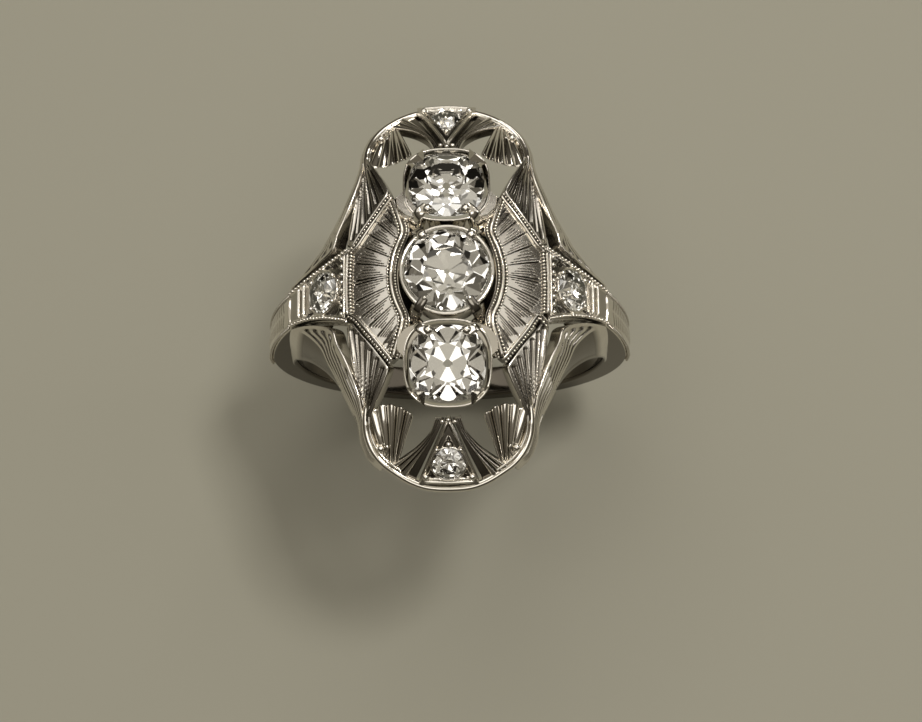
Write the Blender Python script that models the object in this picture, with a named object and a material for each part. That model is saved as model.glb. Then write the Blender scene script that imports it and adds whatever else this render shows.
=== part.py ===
"""Pierced three-stone dinner ring: white-gold filigree head on a plain shank, seven old-cut diamonds.

The origin is the centre of the finger hole. +Y runs along the finger, +Z points up through the
centre stone and +X runs across the shoulders. The head mirrors in X and in Y, so its pieces come in
twos (east and west, north and south) or in fours.
"""

import math

import bmesh
import bpy
from mathutils import Matrix, Vector

MM = 0.001

# Finger hole and shank, in millimetres.
HOLE_RADIUS = 8.65
SHANK_BOTTOM_RADIUS = 9.85
SHANK_HALF_WIDTH_BOTTOM = 0.85
SHANK_HALF_WIDTH_SHOULDER = 1.0
SHANK_START_ANGLE = 46.0
FINGER_CLEARANCE = 0.06

# Domed top of the head, in millimetres: an ellipse across the shoulders and a power curve along
# the finger.
HALF_SPAN = 10.25
HEAD_TOP = 12.65
DOME_RISE = 14.0
END_DROP = 0.0081
END_POWER = 2.6

# Metal thicknesses and the gap kept between touching solids, in millimetres.
PLATE_THICKNESS = 0.5
LEAF_THICKNESS = 0.7
WIRE_HALF_WIDTH = 0.14
WIRE_PROUD = 0.13
WALL_FOOT = 0.2
LEAST_THICKNESS = 0.12
EDGE_ROUNDNESS = 0.96
GAP = 0.05

# Shoulder plates, in millimetres, and the side walls under them, in degrees from +Z.
SHOULDER_START_X = 5.33
SHOULDER_END_X = 8.6
SHOULDER_END_HALF_WIDTH = 1.02
SHOULDER_FLARE = 1.0
SHOULDER_END_ANGLE = 56.5
SHOULDER_BLEND = 3.0
GALLERY_START_ANGLE = 27.5

# Stones, in millimetres.
CENTRE_STONE_RADIUS = 2.2
CENTRE_GIRDLE_HEIGHT = 13.0
SIDE_STONE_RADIUS = 2.03
SIDE_STONE_Y = 4.84
SIDE_GIRDLE_HEIGHT = 12.5
SIDE_STONE_TILT = 14.0
CUSHION_POWER = 3.2
END_STONE_RADIUS = 0.88
END_STONE_Y = 9.5
SHOULDER_STONE_RADIUS = 1.12
SHOULDER_STONE_X = 6.6
SEAT_CLEARANCE = 0.06

# Settings, in millimetres.
COLLET_WALL = 0.17
COLLET_DEPTH = 2.1
PRONG_RADIUS = 0.3
PRONG_HEIGHT = 0.42
PRONG_SIDES = 10
PRONG_ANGLE = 45.0

QUADRANTS = {"ne": (1, 1), "nw": (-1, 1), "se": (1, -1), "sw": (-1, -1)}
EAST_WEST = {"e": 1, "w": -1}
NORTH_SOUTH = {"n": 1, "s": -1}


def crown(x, y):
    """Height of the head's domed top over a point of the plan."""
    across = math.sqrt(max(0.0, 1.0 - (x / HALF_SPAN) ** 2))
    return HEAD_TOP - DOME_RISE * (1.0 - across) - END_DROP * abs(y) ** END_POWER


def finger_top(x):
    """Height of the finger hole's wall, with its clearance, over x."""
    radius = HOLE_RADIUS + FINGER_CLEARANCE
    return math.sqrt(max(0.0, radius * radius - x * x))


def dome_radius(angle, below=0.0):
    """Distance from the finger's axis to the dome lowered by below, at an angle from +Z, in radians."""
    centre = HEAD_TOP - DOME_RISE - below
    s, c = math.sin(angle) / HALF_SPAN, math.cos(angle) / DOME_RISE
    h = centre / DOME_RISE
    a, b, k = s * s + c * c, -2.0 * c * h, h * h - 1.0
    return (-b + math.sqrt(b * b - 4.0 * a * k)) / (2.0 * a)


def material(name, colour, roughness, metallic):
    """A Principled material of one plain finish."""
    made = bpy.data.materials.get(name)
    if made is None:
        made = bpy.data.materials.new(name)
        made.use_nodes = True
        shader = made.node_tree.nodes["Principled BSDF"]
        shader.inputs["Base Color"].default_value = (*colour, 1.0)
        shader.inputs["Roughness"].default_value = roughness
        shader.inputs["Metallic"].default_value = metallic
    return made


def white_gold():
    return material("white_gold", (0.78, 0.75, 0.70), 0.18, 1.0)


def diamond():
    return material("diamond", (0.92, 0.92, 0.86), 0.02, 0.0)


def add_object(name, verts, faces, finish, sharp_angle=35.0):
    """One closed mesh object from points in millimetres, with its faces turned outwards."""
    mesh = bpy.data.meshes.new(name)
    mesh.from_pydata([Vector(v) * MM for v in verts], [], faces)
    work = bmesh.new()
    work.from_mesh(mesh)
    bmesh.ops.recalc_face_normals(work, faces=work.faces)
    if work.calc_volume(signed=True) < 0.0:
        bmesh.ops.reverse_faces(work, faces=work.faces)
    work.to_mesh(mesh)
    work.free()
    mesh.shade_smooth()
    mesh.set_sharp_from_angle(angle=math.radians(sharp_angle))
    mesh.materials.append(finish())
    made = bpy.data.objects.new(name, mesh)
    bpy.context.scene.collection.objects.link(made)
    return made


def tube_of_sections(name, sections, finish):
    """A solid skinned over a row of cross-sections that have the same number of points."""
    count = len(sections[0])
    verts = [point for section in sections for point in section]
    faces = []
    for i in range(len(sections) - 1):
        for j in range(count):
            k = (j + 1) % count
            a, b = i * count, (i + 1) * count
            faces.append((a + j, a + k, b + k, b + j))
    faces.append(tuple(range(count)))
    last = (len(sections) - 1) * count
    faces.append(tuple(last + j for j in reversed(range(count))))
    return add_object(name, verts, faces, finish)


def resample(points, count):
    """Evenly spaced points along a polyline of the plan."""
    lengths = [0.0]
    for a, b in zip(points, points[1:]):
        lengths.append(lengths[-1] + math.dist(a, b))
    out = []
    for i in range(count):
        goal = lengths[-1] * i / (count - 1)
        k = 0
        while k < len(points) - 2 and lengths[k + 1] < goal:
            k += 1
        t = (goal - lengths[k]) / (lengths[k + 1] - lengths[k])
        a, b = points[k], points[k + 1]
        out.append((a[0] + (b[0] - a[0]) * t, a[1] + (b[1] - a[1]) * t))
    return out


def rounded(points, count):
    """Evenly spaced points on a smooth curve through a few points of the plan."""
    fine = []
    for i in range(len(points) - 1):
        p0, p1 = points[max(i - 1, 0)], points[i]
        p2, p3 = points[i + 1], points[min(i + 2, len(points) - 1)]
        for step in range(8):
            t = step / 8.0
            fine.append(tuple(
                0.5 * (2 * b + (c - a) * t + (2 * a - 5 * b + 4 * c - d) * t * t
                       + (3 * b - a - 3 * c + d) * t ** 3)
                for a, b, c, d in zip(p0, p1, p2, p3)))
    fine.append(tuple(points[-1]))
    return resample(fine, count)


def leaf(name, inner, outer, finish, signs=(1, 1), rows=10, across=3, top=0.0,
         thickness=PLATE_THICKNESS, roll=0.0, wall=False):
    """A plate that follows the dome between two edges of the plan.

    roll is how far the plate turns down towards its outer edge; a wall turns down until it is close
    to the finger. The plate's underside never reaches into the finger hole.
    """
    a_edge, b_edge = rounded(inner, rows), rounded(outer, rows)
    upper, lower = [], []
    for a, b in zip(a_edge, b_edge):
        for j in range(across + 1):
            t = j / across
            x, y = a[0] + (b[0] - a[0]) * t, a[1] + (b[1] - a[1]) * t
            turn_down = crown(x, y) - finger_top(x) - WALL_FOOT if wall else roll
            fall = turn_down * (1.0 - math.sqrt(1.0 - EDGE_ROUNDNESS * t * t))
            height = max(crown(x, y) + top - fall, finger_top(x) + LEAST_THICKNESS)
            upper.append((signs[0] * x, signs[1] * y, height))
            lower.append((signs[0] * x, signs[1] * y, max(height - thickness, finger_top(x))))
    width = across + 1
    under = len(upper)
    faces = []
    for i in range(rows - 1):
        for j in range(across):
            a = i * width + j
            quad = (a, a + 1, a + width + 1, a + width)
            faces.append(quad)
            faces.append(tuple(under + k for k in reversed(quad)))
    rim = ([j for j in range(width)]
           + [i * width + across for i in range(1, rows)]
           + [(rows - 1) * width + j for j in range(across - 1, -1, -1)]
           + [i * width for i in range(rows - 2, 0, -1)])
    for a, b in zip(rim, rim[1:] + rim[:1]):
        faces.append((b, a, under + a, under + b))
    return add_object(name, upper + lower, faces, finish)


def ribbon_edges(path, half_width):
    """The two edges of a strip of even width along a path of the plan."""
    left, right = [], []
    for i, point in enumerate(path):
        before, after = path[max(i - 1, 0)], path[min(i + 1, len(path) - 1)]
        dx, dy = after[0] - before[0], after[1] - before[1]
        size = math.hypot(dx, dy)
        nx, ny = -dy / size * half_width, dx / size * half_width
        left.append((point[0] + nx, point[1] + ny))
        right.append((point[0] - nx, point[1] - ny))
    return left, right


def wire(name, path, signs=(1, 1), half_width=WIRE_HALF_WIDTH, rows=12, top=WIRE_PROUD,
         thickness=PLATE_THICKNESS, roll=0.0):
    """A strip of even width that follows the dome."""
    left, right = ribbon_edges(rounded(path, rows), half_width)
    return leaf(name, right, left, white_gold, signs, rows, 2, top, thickness, roll)


# ---------------------------------------------------------------- shank and shoulders

def shank_outer(angle):
    """Outer radius of the shank at an angle from +Z, in radians: the dome, then a thinning back."""
    turn = math.radians(90.0)
    below = PLATE_THICKNESS + GAP
    if angle <= turn:
        fade = min(1.0, max(0.0, (math.degrees(angle) - SHOULDER_END_ANGLE) / SHOULDER_BLEND))
        return dome_radius(angle, below * (1.0 - fade))
    start = dome_radius(turn)
    ease = 0.5 + 0.5 * math.cos(math.pi * (angle - turn) / (math.pi - turn))
    return SHANK_BOTTOM_RADIUS + (start - SHANK_BOTTOM_RADIUS) * ease


def shank_half_width(angle):
    """Half the shank's width at an angle from +Z, in radians."""
    ease = 0.5 + 0.5 * math.cos(angle)
    return SHANK_HALF_WIDTH_BOTTOM + (SHANK_HALF_WIDTH_SHOULDER - SHANK_HALF_WIDTH_BOTTOM) * ease ** 0.6


def shank_section(turn):
    """Cross-section of the shank at a signed angle from +Z: flat sides, a soft top and inner edges."""
    angle = turn if turn <= math.pi else 2.0 * math.pi - turn
    outer, half = shank_outer(angle), shank_half_width(angle)
    side = 0.16
    outline = [(HOLE_RADIUS, -half + side), (HOLE_RADIUS + side, -half), (outer - 0.3, -half),
               (outer - 0.06, -half * 0.62), (outer, 0.0), (outer - 0.06, half * 0.62),
               (outer - 0.3, half), (HOLE_RADIUS + side, half), (HOLE_RADIUS, half - side)]
    return [(r * math.sin(turn), y, r * math.cos(turn)) for r, y in outline]


def shank():
    """The band, from one shoulder plate down round the finger to the other."""
    steps = 84
    first, last = math.radians(SHANK_START_ANGLE), math.radians(360.0 - SHANK_START_ANGLE)
    turns = [first + (last - first) * i / steps for i in range(steps + 1)]
    return tube_of_sections("shank", [shank_section(turn) for turn in turns], white_gold)


def shoulder_half_width(x):
    """Half the width of a shoulder plate at a distance from the head's middle."""
    t = (SHOULDER_END_X - x) / (SHOULDER_END_X - SHOULDER_START_X)
    return SHOULDER_END_HALF_WIDTH + SHOULDER_FLARE * max(0.0, t) ** 1.5


def shoulder_gallery(name, signs):
    """The side wall under one edge of a shoulder plate, between the plate and the finger."""
    sections = []
    steps = 8
    for i in range(steps + 1):
        last = SHANK_START_ANGLE - 0.6
        angle = math.radians(GALLERY_START_ANGLE + (last - GALLERY_START_ANGLE) * i / steps)
        outer = dome_radius(angle, PLATE_THICKNESS + GAP + 0.12)
        outer_y = shoulder_half_width(outer * math.sin(angle)) - 0.1
        inner = HOLE_RADIUS + FINGER_CLEARANCE
        corners = [(inner, outer_y - 0.4), (outer, outer_y - 0.4), (outer, outer_y), (inner, outer_y)]
        sections.append([(signs[0] * r * math.sin(angle), signs[1] * y, r * math.cos(angle))
                         for r, y in corners])
    return tube_of_sections(name, sections, white_gold)


def cut(target, cutter):
    """Takes a cutter's shape out of a target, and drops the cutter."""
    change = target.modifiers.new("seat", "BOOLEAN")
    change.operation = "DIFFERENCE"
    change.solver = "EXACT"
    change.object = cutter
    cutter.hide_render = True
    cutter.display_type = "WIRE"


def seat_cutter(name, radius, centre, normal, depth=2.2):
    """A round cutter for a stone's seat, centred on the girdle and turned to the stone's normal."""
    mesh = bpy.data.meshes.new(name)
    work = bmesh.new()
    bmesh.ops.create_cone(work, cap_ends=True, segments=32, radius1=radius * MM,
                          radius2=radius * MM, depth=2.0 * depth * MM)
    turn = Vector((0, 0, 1)).rotation_difference(Vector(normal).normalized())
    work.transform(Matrix.Translation(Vector(centre) * MM) @ turn.to_matrix().to_4x4())
    work.to_mesh(mesh)
    work.free()
    made = bpy.data.objects.new(name, mesh)
    bpy.context.scene.collection.objects.link(made)
    return made


def dome_normal(x, y):
    """Outward normal of the dome over a point of the plan."""
    step = 0.01
    dx = (crown(x + step, y) - crown(x - step, y)) / (2 * step)
    dy = (crown(x, y + step) - crown(x, y - step)) / (2 * step)
    return Vector((-dx, -dy, 1.0)).normalized()


def shoulder_plate(side, sign):
    """The tapering plate on top of a shoulder, bored for its diamond."""
    steps = 6
    xs = [SHOULDER_START_X + (SHOULDER_END_X - SHOULDER_START_X) * i / steps for i in range(steps + 1)]
    low = [(x, -shoulder_half_width(x)) for x in xs]
    high = [(x, shoulder_half_width(x)) for x in xs]
    plate = leaf("shoulder_plate_" + side, low, high, white_gold, (sign, 1), 10, 6)
    normal = dome_normal(sign * SHOULDER_STONE_X, 0.0)
    centre = (sign * SHOULDER_STONE_X, 0.0, crown(SHOULDER_STONE_X, 0.0))
    cut(plate, seat_cutter("shoulder_seat_" + side, SHOULDER_STONE_RADIUS + SEAT_CLEARANCE,
                           centre, normal))
    return plate


# ---------------------------------------------------------------- cartouche round the centre stone

ARC_MIDDLE = 2.86
ARC_RADIUS = 4.2
ARC_TURN_Y = 2.3
ARC_FLARE = 0.3
BORDER_SLANT = 36.0
BORDER_INNER_END = (2.9, 4.5)
BORDER_OUTER_END = (4.85, 1.85)
SHOULDER_BORDER_X = 5.13


def arc_x(y):
    """The beaded arc beside the centre stone: a round bow that flares along the box settings."""
    y = abs(y)
    bend = ARC_MIDDLE - (ARC_RADIUS - math.sqrt(ARC_RADIUS ** 2 - min(y, ARC_TURN_Y) ** 2))
    return bend + max(0.0, y - ARC_TURN_Y) * ARC_FLARE


def border_x(y):
    """The cartouche's outer edge: upright in the middle, then slanting in to the box settings."""
    y = abs(y)
    if y <= BORDER_OUTER_END[1]:
        return SHOULDER_BORDER_X - 0.02
    t = (y - BORDER_OUTER_END[1]) / (BORDER_INNER_END[1] - BORDER_OUTER_END[1])
    return BORDER_OUTER_END[0] + (BORDER_INNER_END[0] - BORDER_OUTER_END[0]) * t


def cartouche_plate(side, sign):
    """The engraved plate between a beaded arc and the cartouche's border."""
    reach = 3.85
    ys = [-reach + 2 * reach * i / 24 for i in range(25)]
    room = WIRE_HALF_WIDTH + GAP
    inner = [(arc_x(y) + room, y) for y in ys]
    slant = room / math.cos(math.radians(BORDER_SLANT))
    outer = [(min(border_x(y) - slant, SHOULDER_BORDER_X - room - 0.02), y) for y in ys]
    return leaf("cartouche_plate_" + side, inner, outer, white_gold, (sign, 1), 25, 4)


def beaded_arc(side, sign):
    """The bead-edged wire beside the centre stone."""
    ys = [-4.0 + 8.0 * i / 16 for i in range(17)]
    return wire("beaded_arc_" + side, [(arc_x(y), y) for y in ys], (sign, 1), rows=17)


def cartouche_border(name, signs):
    """The raised slanting border from a shoulder's corner to a box setting."""
    return wire(name, [BORDER_OUTER_END, BORDER_INNER_END], signs, rows=6, thickness=0.6)


def shoulder_border(side, sign):
    """The raised upright border between the cartouche and a shoulder plate."""
    return wire("shoulder_border_" + side, [(SHOULDER_BORDER_X, -1.6), (SHOULDER_BORDER_X, 1.6)],
                (sign, 1), 0.13, 6, thickness=0.6)


# ---------------------------------------------------------------- settings and stones

def ring_points(radius, height, count, power=2.0, phase=0.0):
    """Points round a circle, or round a squarer outline when the power is above 2."""
    out = []
    for i in range(count):
        turn = phase + 2.0 * math.pi * i / count
        c, s = math.cos(turn), math.sin(turn)
        size = radius / (abs(c) ** power + abs(s) ** power) ** (1.0 / power)
        out.append((size * c, size * s, height))
    return out


def place(verts, centre, tilt):
    """Turns points about X by a tilt in degrees and moves them to a centre."""
    turn = Matrix.Rotation(math.radians(tilt), 3, "X")
    return [tuple(turn @ Vector(v) + Vector(centre)) for v in verts]


def face_rings(rings):
    """Quads that join closed rings of equal count, in order."""
    count = len(rings[0])
    faces = []
    for i in range(len(rings) - 1):
        for j in range(count):
            k = (j + 1) % count
            faces.append((i * count + j, i * count + k, (i + 1) * count + k, (i + 1) * count + j))
    return faces


def stone(name, radius, centre, normal, power=2.0, count=16):
    """An old-cut diamond: flat table, sloping crown, thin girdle and a pavilion with a small culet."""
    levels = [(0.03, -0.86), (1.0, -0.04), (1.0, 0.04), (0.78, 0.26), (0.5, 0.38)]
    rings = []
    for share, height in levels:
        rings.append(ring_points(radius * share, radius * height, count, power, math.pi / count))
    verts = [point for ring in rings for point in ring]
    faces = face_rings(rings)
    faces.append(tuple(reversed(range(count))))
    faces.append(tuple(range((len(rings) - 1) * count, len(rings) * count)))
    turn = Vector((0, 0, 1)).rotation_difference(Vector(normal).normalized())
    verts = [tuple(turn @ Vector(v) + Vector(centre)) for v in verts]
    return add_object(name, verts, faces, diamond, 5.0)


def setting(name, radius, centre, tilt, power, prong_reach):
    """A collet for one stone: a thin flaring wall, and four prongs joined to its corners."""
    count = 32
    inner = radius + SEAT_CLEARANCE
    outer = inner + COLLET_WALL
    rings = [ring_points(outer, 0.12, count, power), ring_points(outer * 0.9, -COLLET_DEPTH, count, power),
             ring_points(inner * 0.9, -COLLET_DEPTH, count, power), ring_points(inner, 0.12, count, power)]
    verts = place([point for ring in rings for point in ring], centre, tilt)
    faces = face_rings(rings + rings[:1])
    faces = [tuple(i % (4 * count) for i in face) for face in faces]
    wall = add_object(name, verts, faces, white_gold)
    for i in range(4):
        turn = math.radians(PRONG_ANGLE + 90.0 * i)
        foot = (prong_reach * math.cos(turn), prong_reach * math.sin(turn))
        levels = [(-COLLET_DEPTH + 0.5, 0.8), (0.1, 1.0), (PRONG_HEIGHT - 0.12, 1.0), (PRONG_HEIGHT, 0.55)]
        rounds = []
        for height, share in levels:
            rounds.append([(foot[0] + p[0], foot[1] + p[1], height)
                           for p in ring_points(PRONG_RADIUS * share, height, PRONG_SIDES)])
        points = place([point for ring in rounds for point in ring], centre, tilt)
        sides = face_rings(rounds)
        sides.append(tuple(reversed(range(PRONG_SIDES))))
        top_ring = (len(levels) - 1) * PRONG_SIDES
        sides.append(tuple(range(top_ring, top_ring + PRONG_SIDES)))
        prong = add_object(f"{name}_prong_{i}", points, sides, white_gold)
        prong.hide_render = True
        prong.display_type = "WIRE"
        join = wall.modifiers.new(f"prong_{i}", "BOOLEAN")
        join.operation = "UNION"
        join.solver = "EXACT"
        join.object = prong
    return wall


def centre_setting():
    centre = (0.0, 0.0, CENTRE_GIRDLE_HEIGHT)
    reach = CENTRE_STONE_RADIUS + SEAT_CLEARANCE + PRONG_RADIUS
    setting("centre_collet", CENTRE_STONE_RADIUS, centre, 0.0, 2.0, reach)
    stone("diamond_centre", CENTRE_STONE_RADIUS, centre, (0, 0, 1))


def box_setting(side, sign):
    """A square setting with its cushion-shaped diamond, tilted to follow the dome."""
    centre = (0.0, sign * SIDE_STONE_Y, SIDE_GIRDLE_HEIGHT)
    tilt = -sign * SIDE_STONE_TILT
    corner = (SIDE_STONE_RADIUS + SEAT_CLEARANCE) * 2.0 ** (0.5 - 1.0 / CUSHION_POWER)
    setting("box_setting_" + side, SIDE_STONE_RADIUS, centre, tilt, CUSHION_POWER,
            corner + 0.8 * PRONG_RADIUS)
    lean = Matrix.Rotation(math.radians(tilt), 3, "X") @ Vector((0, 0, 1))
    stone("diamond_" + side, SIDE_STONE_RADIUS * 0.97, centre, lean, 2.5)


def shoulder_stone(side, sign):
    normal = dome_normal(sign * SHOULDER_STONE_X, 0.0)
    centre = (sign * SHOULDER_STONE_X, 0.0, crown(SHOULDER_STONE_X, 0.0))
    stone("diamond_shoulder_" + side, SHOULDER_STONE_RADIUS, centre, normal)


# ---------------------------------------------------------------- lobes at the ends of the head

TRIANGLE_APEX_Y = 7.5
TRIANGLE_BASE_Y = 10.35
TRIANGLE_HALF_BASE = 1.7


def triangle_plate(side, sign):
    """The triangular plate at one end of the head, bored for its diamond."""
    left = [(-0.08, TRIANGLE_APEX_Y), (-TRIANGLE_HALF_BASE, TRIANGLE_BASE_Y)]
    right = [(0.08, TRIANGLE_APEX_Y), (TRIANGLE_HALF_BASE, TRIANGLE_BASE_Y)]
    plate = leaf("triangle_plate_" + side, left, right, white_gold, (1, sign), 8, 4)
    normal = dome_normal(0.0, sign * END_STONE_Y)
    centre = (0.0, sign * END_STONE_Y, crown(0.0, END_STONE_Y))
    cut(plate, seat_cutter("end_seat_" + side, END_STONE_RADIUS + SEAT_CLEARANCE, centre, normal))
    stone("diamond_end_" + side, END_STONE_RADIUS, centre, normal, count=12)


FAN_LEAF_INNER = [(5.0, 2.15), (4.5, 2.8), (3.95, 3.5), (3.45, 4.2), (3.15, 4.8), (3.4, 5.4),
                  (3.8, 6.1), (4.08, 6.7), (4.2, 7.15)]
FAN_LEAF_OUTER = [(5.22, 2.25), (5.16, 3.0), (5.05, 3.9), (4.92, 4.5), (4.8, 5.0), (4.68, 5.5),
                  (4.56, 6.1), (4.5, 6.7), (4.5, 7.15)]
FLANK_INNER = [(8.5, 1.2), (7.7, 1.42), (6.9, 1.75), (6.1, 2.2), (5.85, 3.0), (5.5, 3.85),
               (5.1, 4.9), (4.85, 5.9), (4.68, 6.7), (4.62, 7.3), (4.54, 8.0), (4.24, 8.8)]
FLANK_OUTER = [(8.75, 1.5), (8.15, 2.05), (7.45, 2.65), (6.8, 3.3), (6.3, 3.95), (5.82, 4.7),
               (5.42, 5.55), (5.1, 6.35), (4.9, 6.9), (4.8, 7.4), (4.72, 8.05), (4.4, 8.95)]
LOBE_RIM = [(4.36, 7.4), (4.3, 7.95), (4.02, 8.68), (3.5, 9.32), (2.8, 9.88), (2.25, 10.3),
            (1.7, 10.58), (1.0, 10.64), (0.06, 10.64)]
TENDRIL = [(0.6, 7.65), (1.05, 8.2), (1.65, 8.75), (2.25, 9.15), (2.75, 9.35)]
SHELL_INNER = [(2.66, 9.0), (2.4, 8.6), (2.12, 8.1), (1.9, 7.6), (1.88, 7.25)]
SHELL_OUTER = [(2.9, 9.0), (3.08, 8.4), (3.35, 7.9), (3.75, 7.4), (3.86, 6.95)]
SCROLL_BALL = (3.52, 8.5)
SCROLL_BALL_RADIUS = 0.24
RAIL_PATH = [(7.6, 1.3), (6.9, 1.95), (6.2, 2.9), (5.6, 3.8), (5.1, 4.9), (4.7, 5.9),
             (4.4, 6.9), (4.2, 7.8), (3.8, 8.5)]


def scroll_ball(name, signs):
    """The small ball at the end of a lobe's scroll."""
    mesh = bpy.data.meshes.new(name)
    work = bmesh.new()
    bmesh.ops.create_icosphere(work, subdivisions=2, radius=SCROLL_BALL_RADIUS * MM)
    x, y = SCROLL_BALL
    centre = Vector((signs[0] * x, signs[1] * y, crown(x, y) - 0.25)) * MM
    work.transform(Matrix.Translation(centre))
    work.to_mesh(mesh)
    work.free()
    mesh.shade_smooth()
    mesh.materials.append(white_gold())
    made = bpy.data.objects.new(name, mesh)
    bpy.context.scene.collection.objects.link(made)


def gallery_rail(name, signs):
    """The rail that lies next to the finger under one quarter of the head."""
    left, right = ribbon_edges(rounded(RAIL_PATH, 16), 0.16)
    sections = []
    for a, b in zip(left, right):
        low = max(finger_top(a[0]), finger_top(b[0]))
        corners = [(a, low), (b, low), (b, low + 0.4), (a, low + 0.4)]
        sections.append([(signs[0] * p[0], signs[1] * p[1], z) for p, z in corners])
    return tube_of_sections(name, sections, white_gold)


def quarter(corner, signs):
    """Every pierced and fluted piece of one quarter of the head."""
    shoulder_gallery("shoulder_gallery_" + corner, signs)
    cartouche_border("cartouche_border_" + corner, signs)
    leaf("fan_leaf_" + corner, FAN_LEAF_INNER, FAN_LEAF_OUTER, white_gold, signs, 14, 3,
         thickness=LEAF_THICKNESS, roll=0.5)
    leaf("flank_fan_" + corner, FLANK_INNER, FLANK_OUTER, white_gold, signs, 20, 4,
         thickness=0.8, wall=True)
    leaf("lobe_shell_" + corner, SHELL_INNER, SHELL_OUTER, white_gold, signs, 9, 3,
         thickness=0.5)
    wire("lobe_rim_" + corner, LOBE_RIM, signs, 0.16, 20, 0.0, LEAF_THICKNESS, roll=0.4)
    wire("tendril_" + corner, TENDRIL, signs, 0.15, 10, 0.05)
    scroll_ball("scroll_ball_" + corner, signs)
    gallery_rail("gallery_rail_" + corner, signs)


def main():
    for old in list(bpy.data.objects):
        bpy.data.objects.remove(old)
    shank()
    centre_setting()
    for side, sign in EAST_WEST.items():
        shoulder_plate(side, sign)
        shoulder_stone(side, sign)
        shoulder_border(side, sign)
        cartouche_plate(side, sign)
        beaded_arc(side, sign)
    for side, sign in NORTH_SOUTH.items():
        box_setting(side, sign)
        triangle_plate(side, sign)
    for corner, signs in QUADRANTS.items():
        quarter(corner, signs)


main()
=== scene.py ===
"""Looks of the three-stone filigree ring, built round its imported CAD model.

Plans and heights below are in millimetres, in the CAD's frame: +Y along the finger, +Z up.
"""

import math

import bmesh
import bpy
import numpy as np
from mathutils import Matrix, Vector


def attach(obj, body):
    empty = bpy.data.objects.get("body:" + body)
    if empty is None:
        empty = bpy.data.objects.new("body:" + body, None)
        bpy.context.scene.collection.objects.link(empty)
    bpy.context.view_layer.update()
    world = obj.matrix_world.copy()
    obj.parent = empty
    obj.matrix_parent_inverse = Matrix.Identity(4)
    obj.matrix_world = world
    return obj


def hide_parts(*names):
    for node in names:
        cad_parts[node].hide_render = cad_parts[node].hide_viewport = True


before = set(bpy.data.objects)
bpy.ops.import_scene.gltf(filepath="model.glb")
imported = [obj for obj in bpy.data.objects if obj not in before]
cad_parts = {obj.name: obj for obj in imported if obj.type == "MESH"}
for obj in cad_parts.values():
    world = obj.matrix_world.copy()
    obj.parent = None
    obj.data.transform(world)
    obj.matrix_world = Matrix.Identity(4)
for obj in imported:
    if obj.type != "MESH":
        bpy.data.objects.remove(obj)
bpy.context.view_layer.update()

MM = 0.001
rng = np.random.default_rng(7)

# Driving dimensions of the CAD, in millimetres.
HOLE_RADIUS = 8.65
SHANK_BOTTOM_RADIUS = 9.85
SHANK_HALF_WIDTH_BOTTOM = 0.85
SHANK_HALF_WIDTH_SHOULDER = 1.0
SHANK_START_ANGLE = 46.0
FINGER_CLEARANCE = 0.06
HALF_SPAN = 10.25
HEAD_TOP = 12.65
DOME_RISE = 14.0
END_DROP = 0.0081
END_POWER = 2.6
PLATE_THICKNESS = 0.5
SHOULDER_START_X = 5.33
SHOULDER_END_X = 8.6
SHOULDER_END_HALF_WIDTH = 1.02
WALL_FOOT = 0.2
EDGE_ROUNDNESS = 0.96
GAP = 0.05
CENTRE_STONE_RADIUS = 2.2
CENTRE_GIRDLE_HEIGHT = 13.0
SIDE_STONE_RADIUS = 2.03
SIDE_STONE_Y = 4.84
SIDE_GIRDLE_HEIGHT = 12.5
SIDE_STONE_TILT = 14.0
END_STONE_RADIUS = 0.88
END_STONE_Y = 9.5
SHOULDER_STONE_RADIUS = 1.12
SHOULDER_STONE_X = 6.6
SEAT_CLEARANCE = 0.06
COLLET_WALL = 0.17
COLLET_DEPTH = 2.1

# The walls turn down further here than the CAD's, so that their ribs cover them.
WALL_ROUNDNESS = 0.996

# Edges steeper than this, in degrees, stay sharp; the rest are shaded smooth.
SHARP_ANGLE = 38.0
COLLET_SIDES, CLAW_STEPS, RING_STEPS, SHANK_STEPS = 96, 12, 48, 520

# How far the metal is darkened, from 0 to 1: patina with painted shade on the shank's sides and inside, painted
# shade on the plates' sides and undersides.
SIDE_PATINA_AND_PAINTED_SHADE = 0.94
UNDERSIDE_PAINTED_SHADE = 0.75

QUADRANTS = {"ne": (1, 1), "nw": (-1, 1), "se": (1, -1), "sw": (-1, -1)}
EAST_WEST = {"e": 1, "w": -1}
NORTH_SOUTH = {"n": 1, "s": -1}


# ---------------------------------------------------------------- the head's domed surface

def crown(x, y):
    """Height of the head's domed top over a point of the plan."""
    across = np.sqrt(np.maximum(1e-4, 1.0 - (x / HALF_SPAN) ** 2))
    return HEAD_TOP - DOME_RISE * (1.0 - across) - END_DROP * np.abs(y) ** END_POWER


def unit(vectors):
    """The vectors at length one."""
    return vectors / np.maximum(1e-9, np.linalg.norm(vectors, axis=-1, keepdims=True))


def dome_normal(x, y):
    """Outward unit normals of the dome over points of the plan."""
    x, y = np.asarray(x, float), np.asarray(y, float)
    across = np.sqrt(np.maximum(1e-3, 1.0 - (x / HALF_SPAN) ** 2))
    slope_x = -DOME_RISE * x / (HALF_SPAN ** 2 * across)
    slope_y = -END_DROP * END_POWER * np.abs(y) ** (END_POWER - 1.0) * np.sign(y)
    return unit(np.stack([-slope_x, -slope_y, np.ones_like(slope_x)], -1))


def finger_top(x):
    """Height of the finger hole's wall, with its clearance, over x."""
    radius = HOLE_RADIUS + FINGER_CLEARANCE
    return np.sqrt(np.maximum(0.0, radius * radius - x * x))


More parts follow.
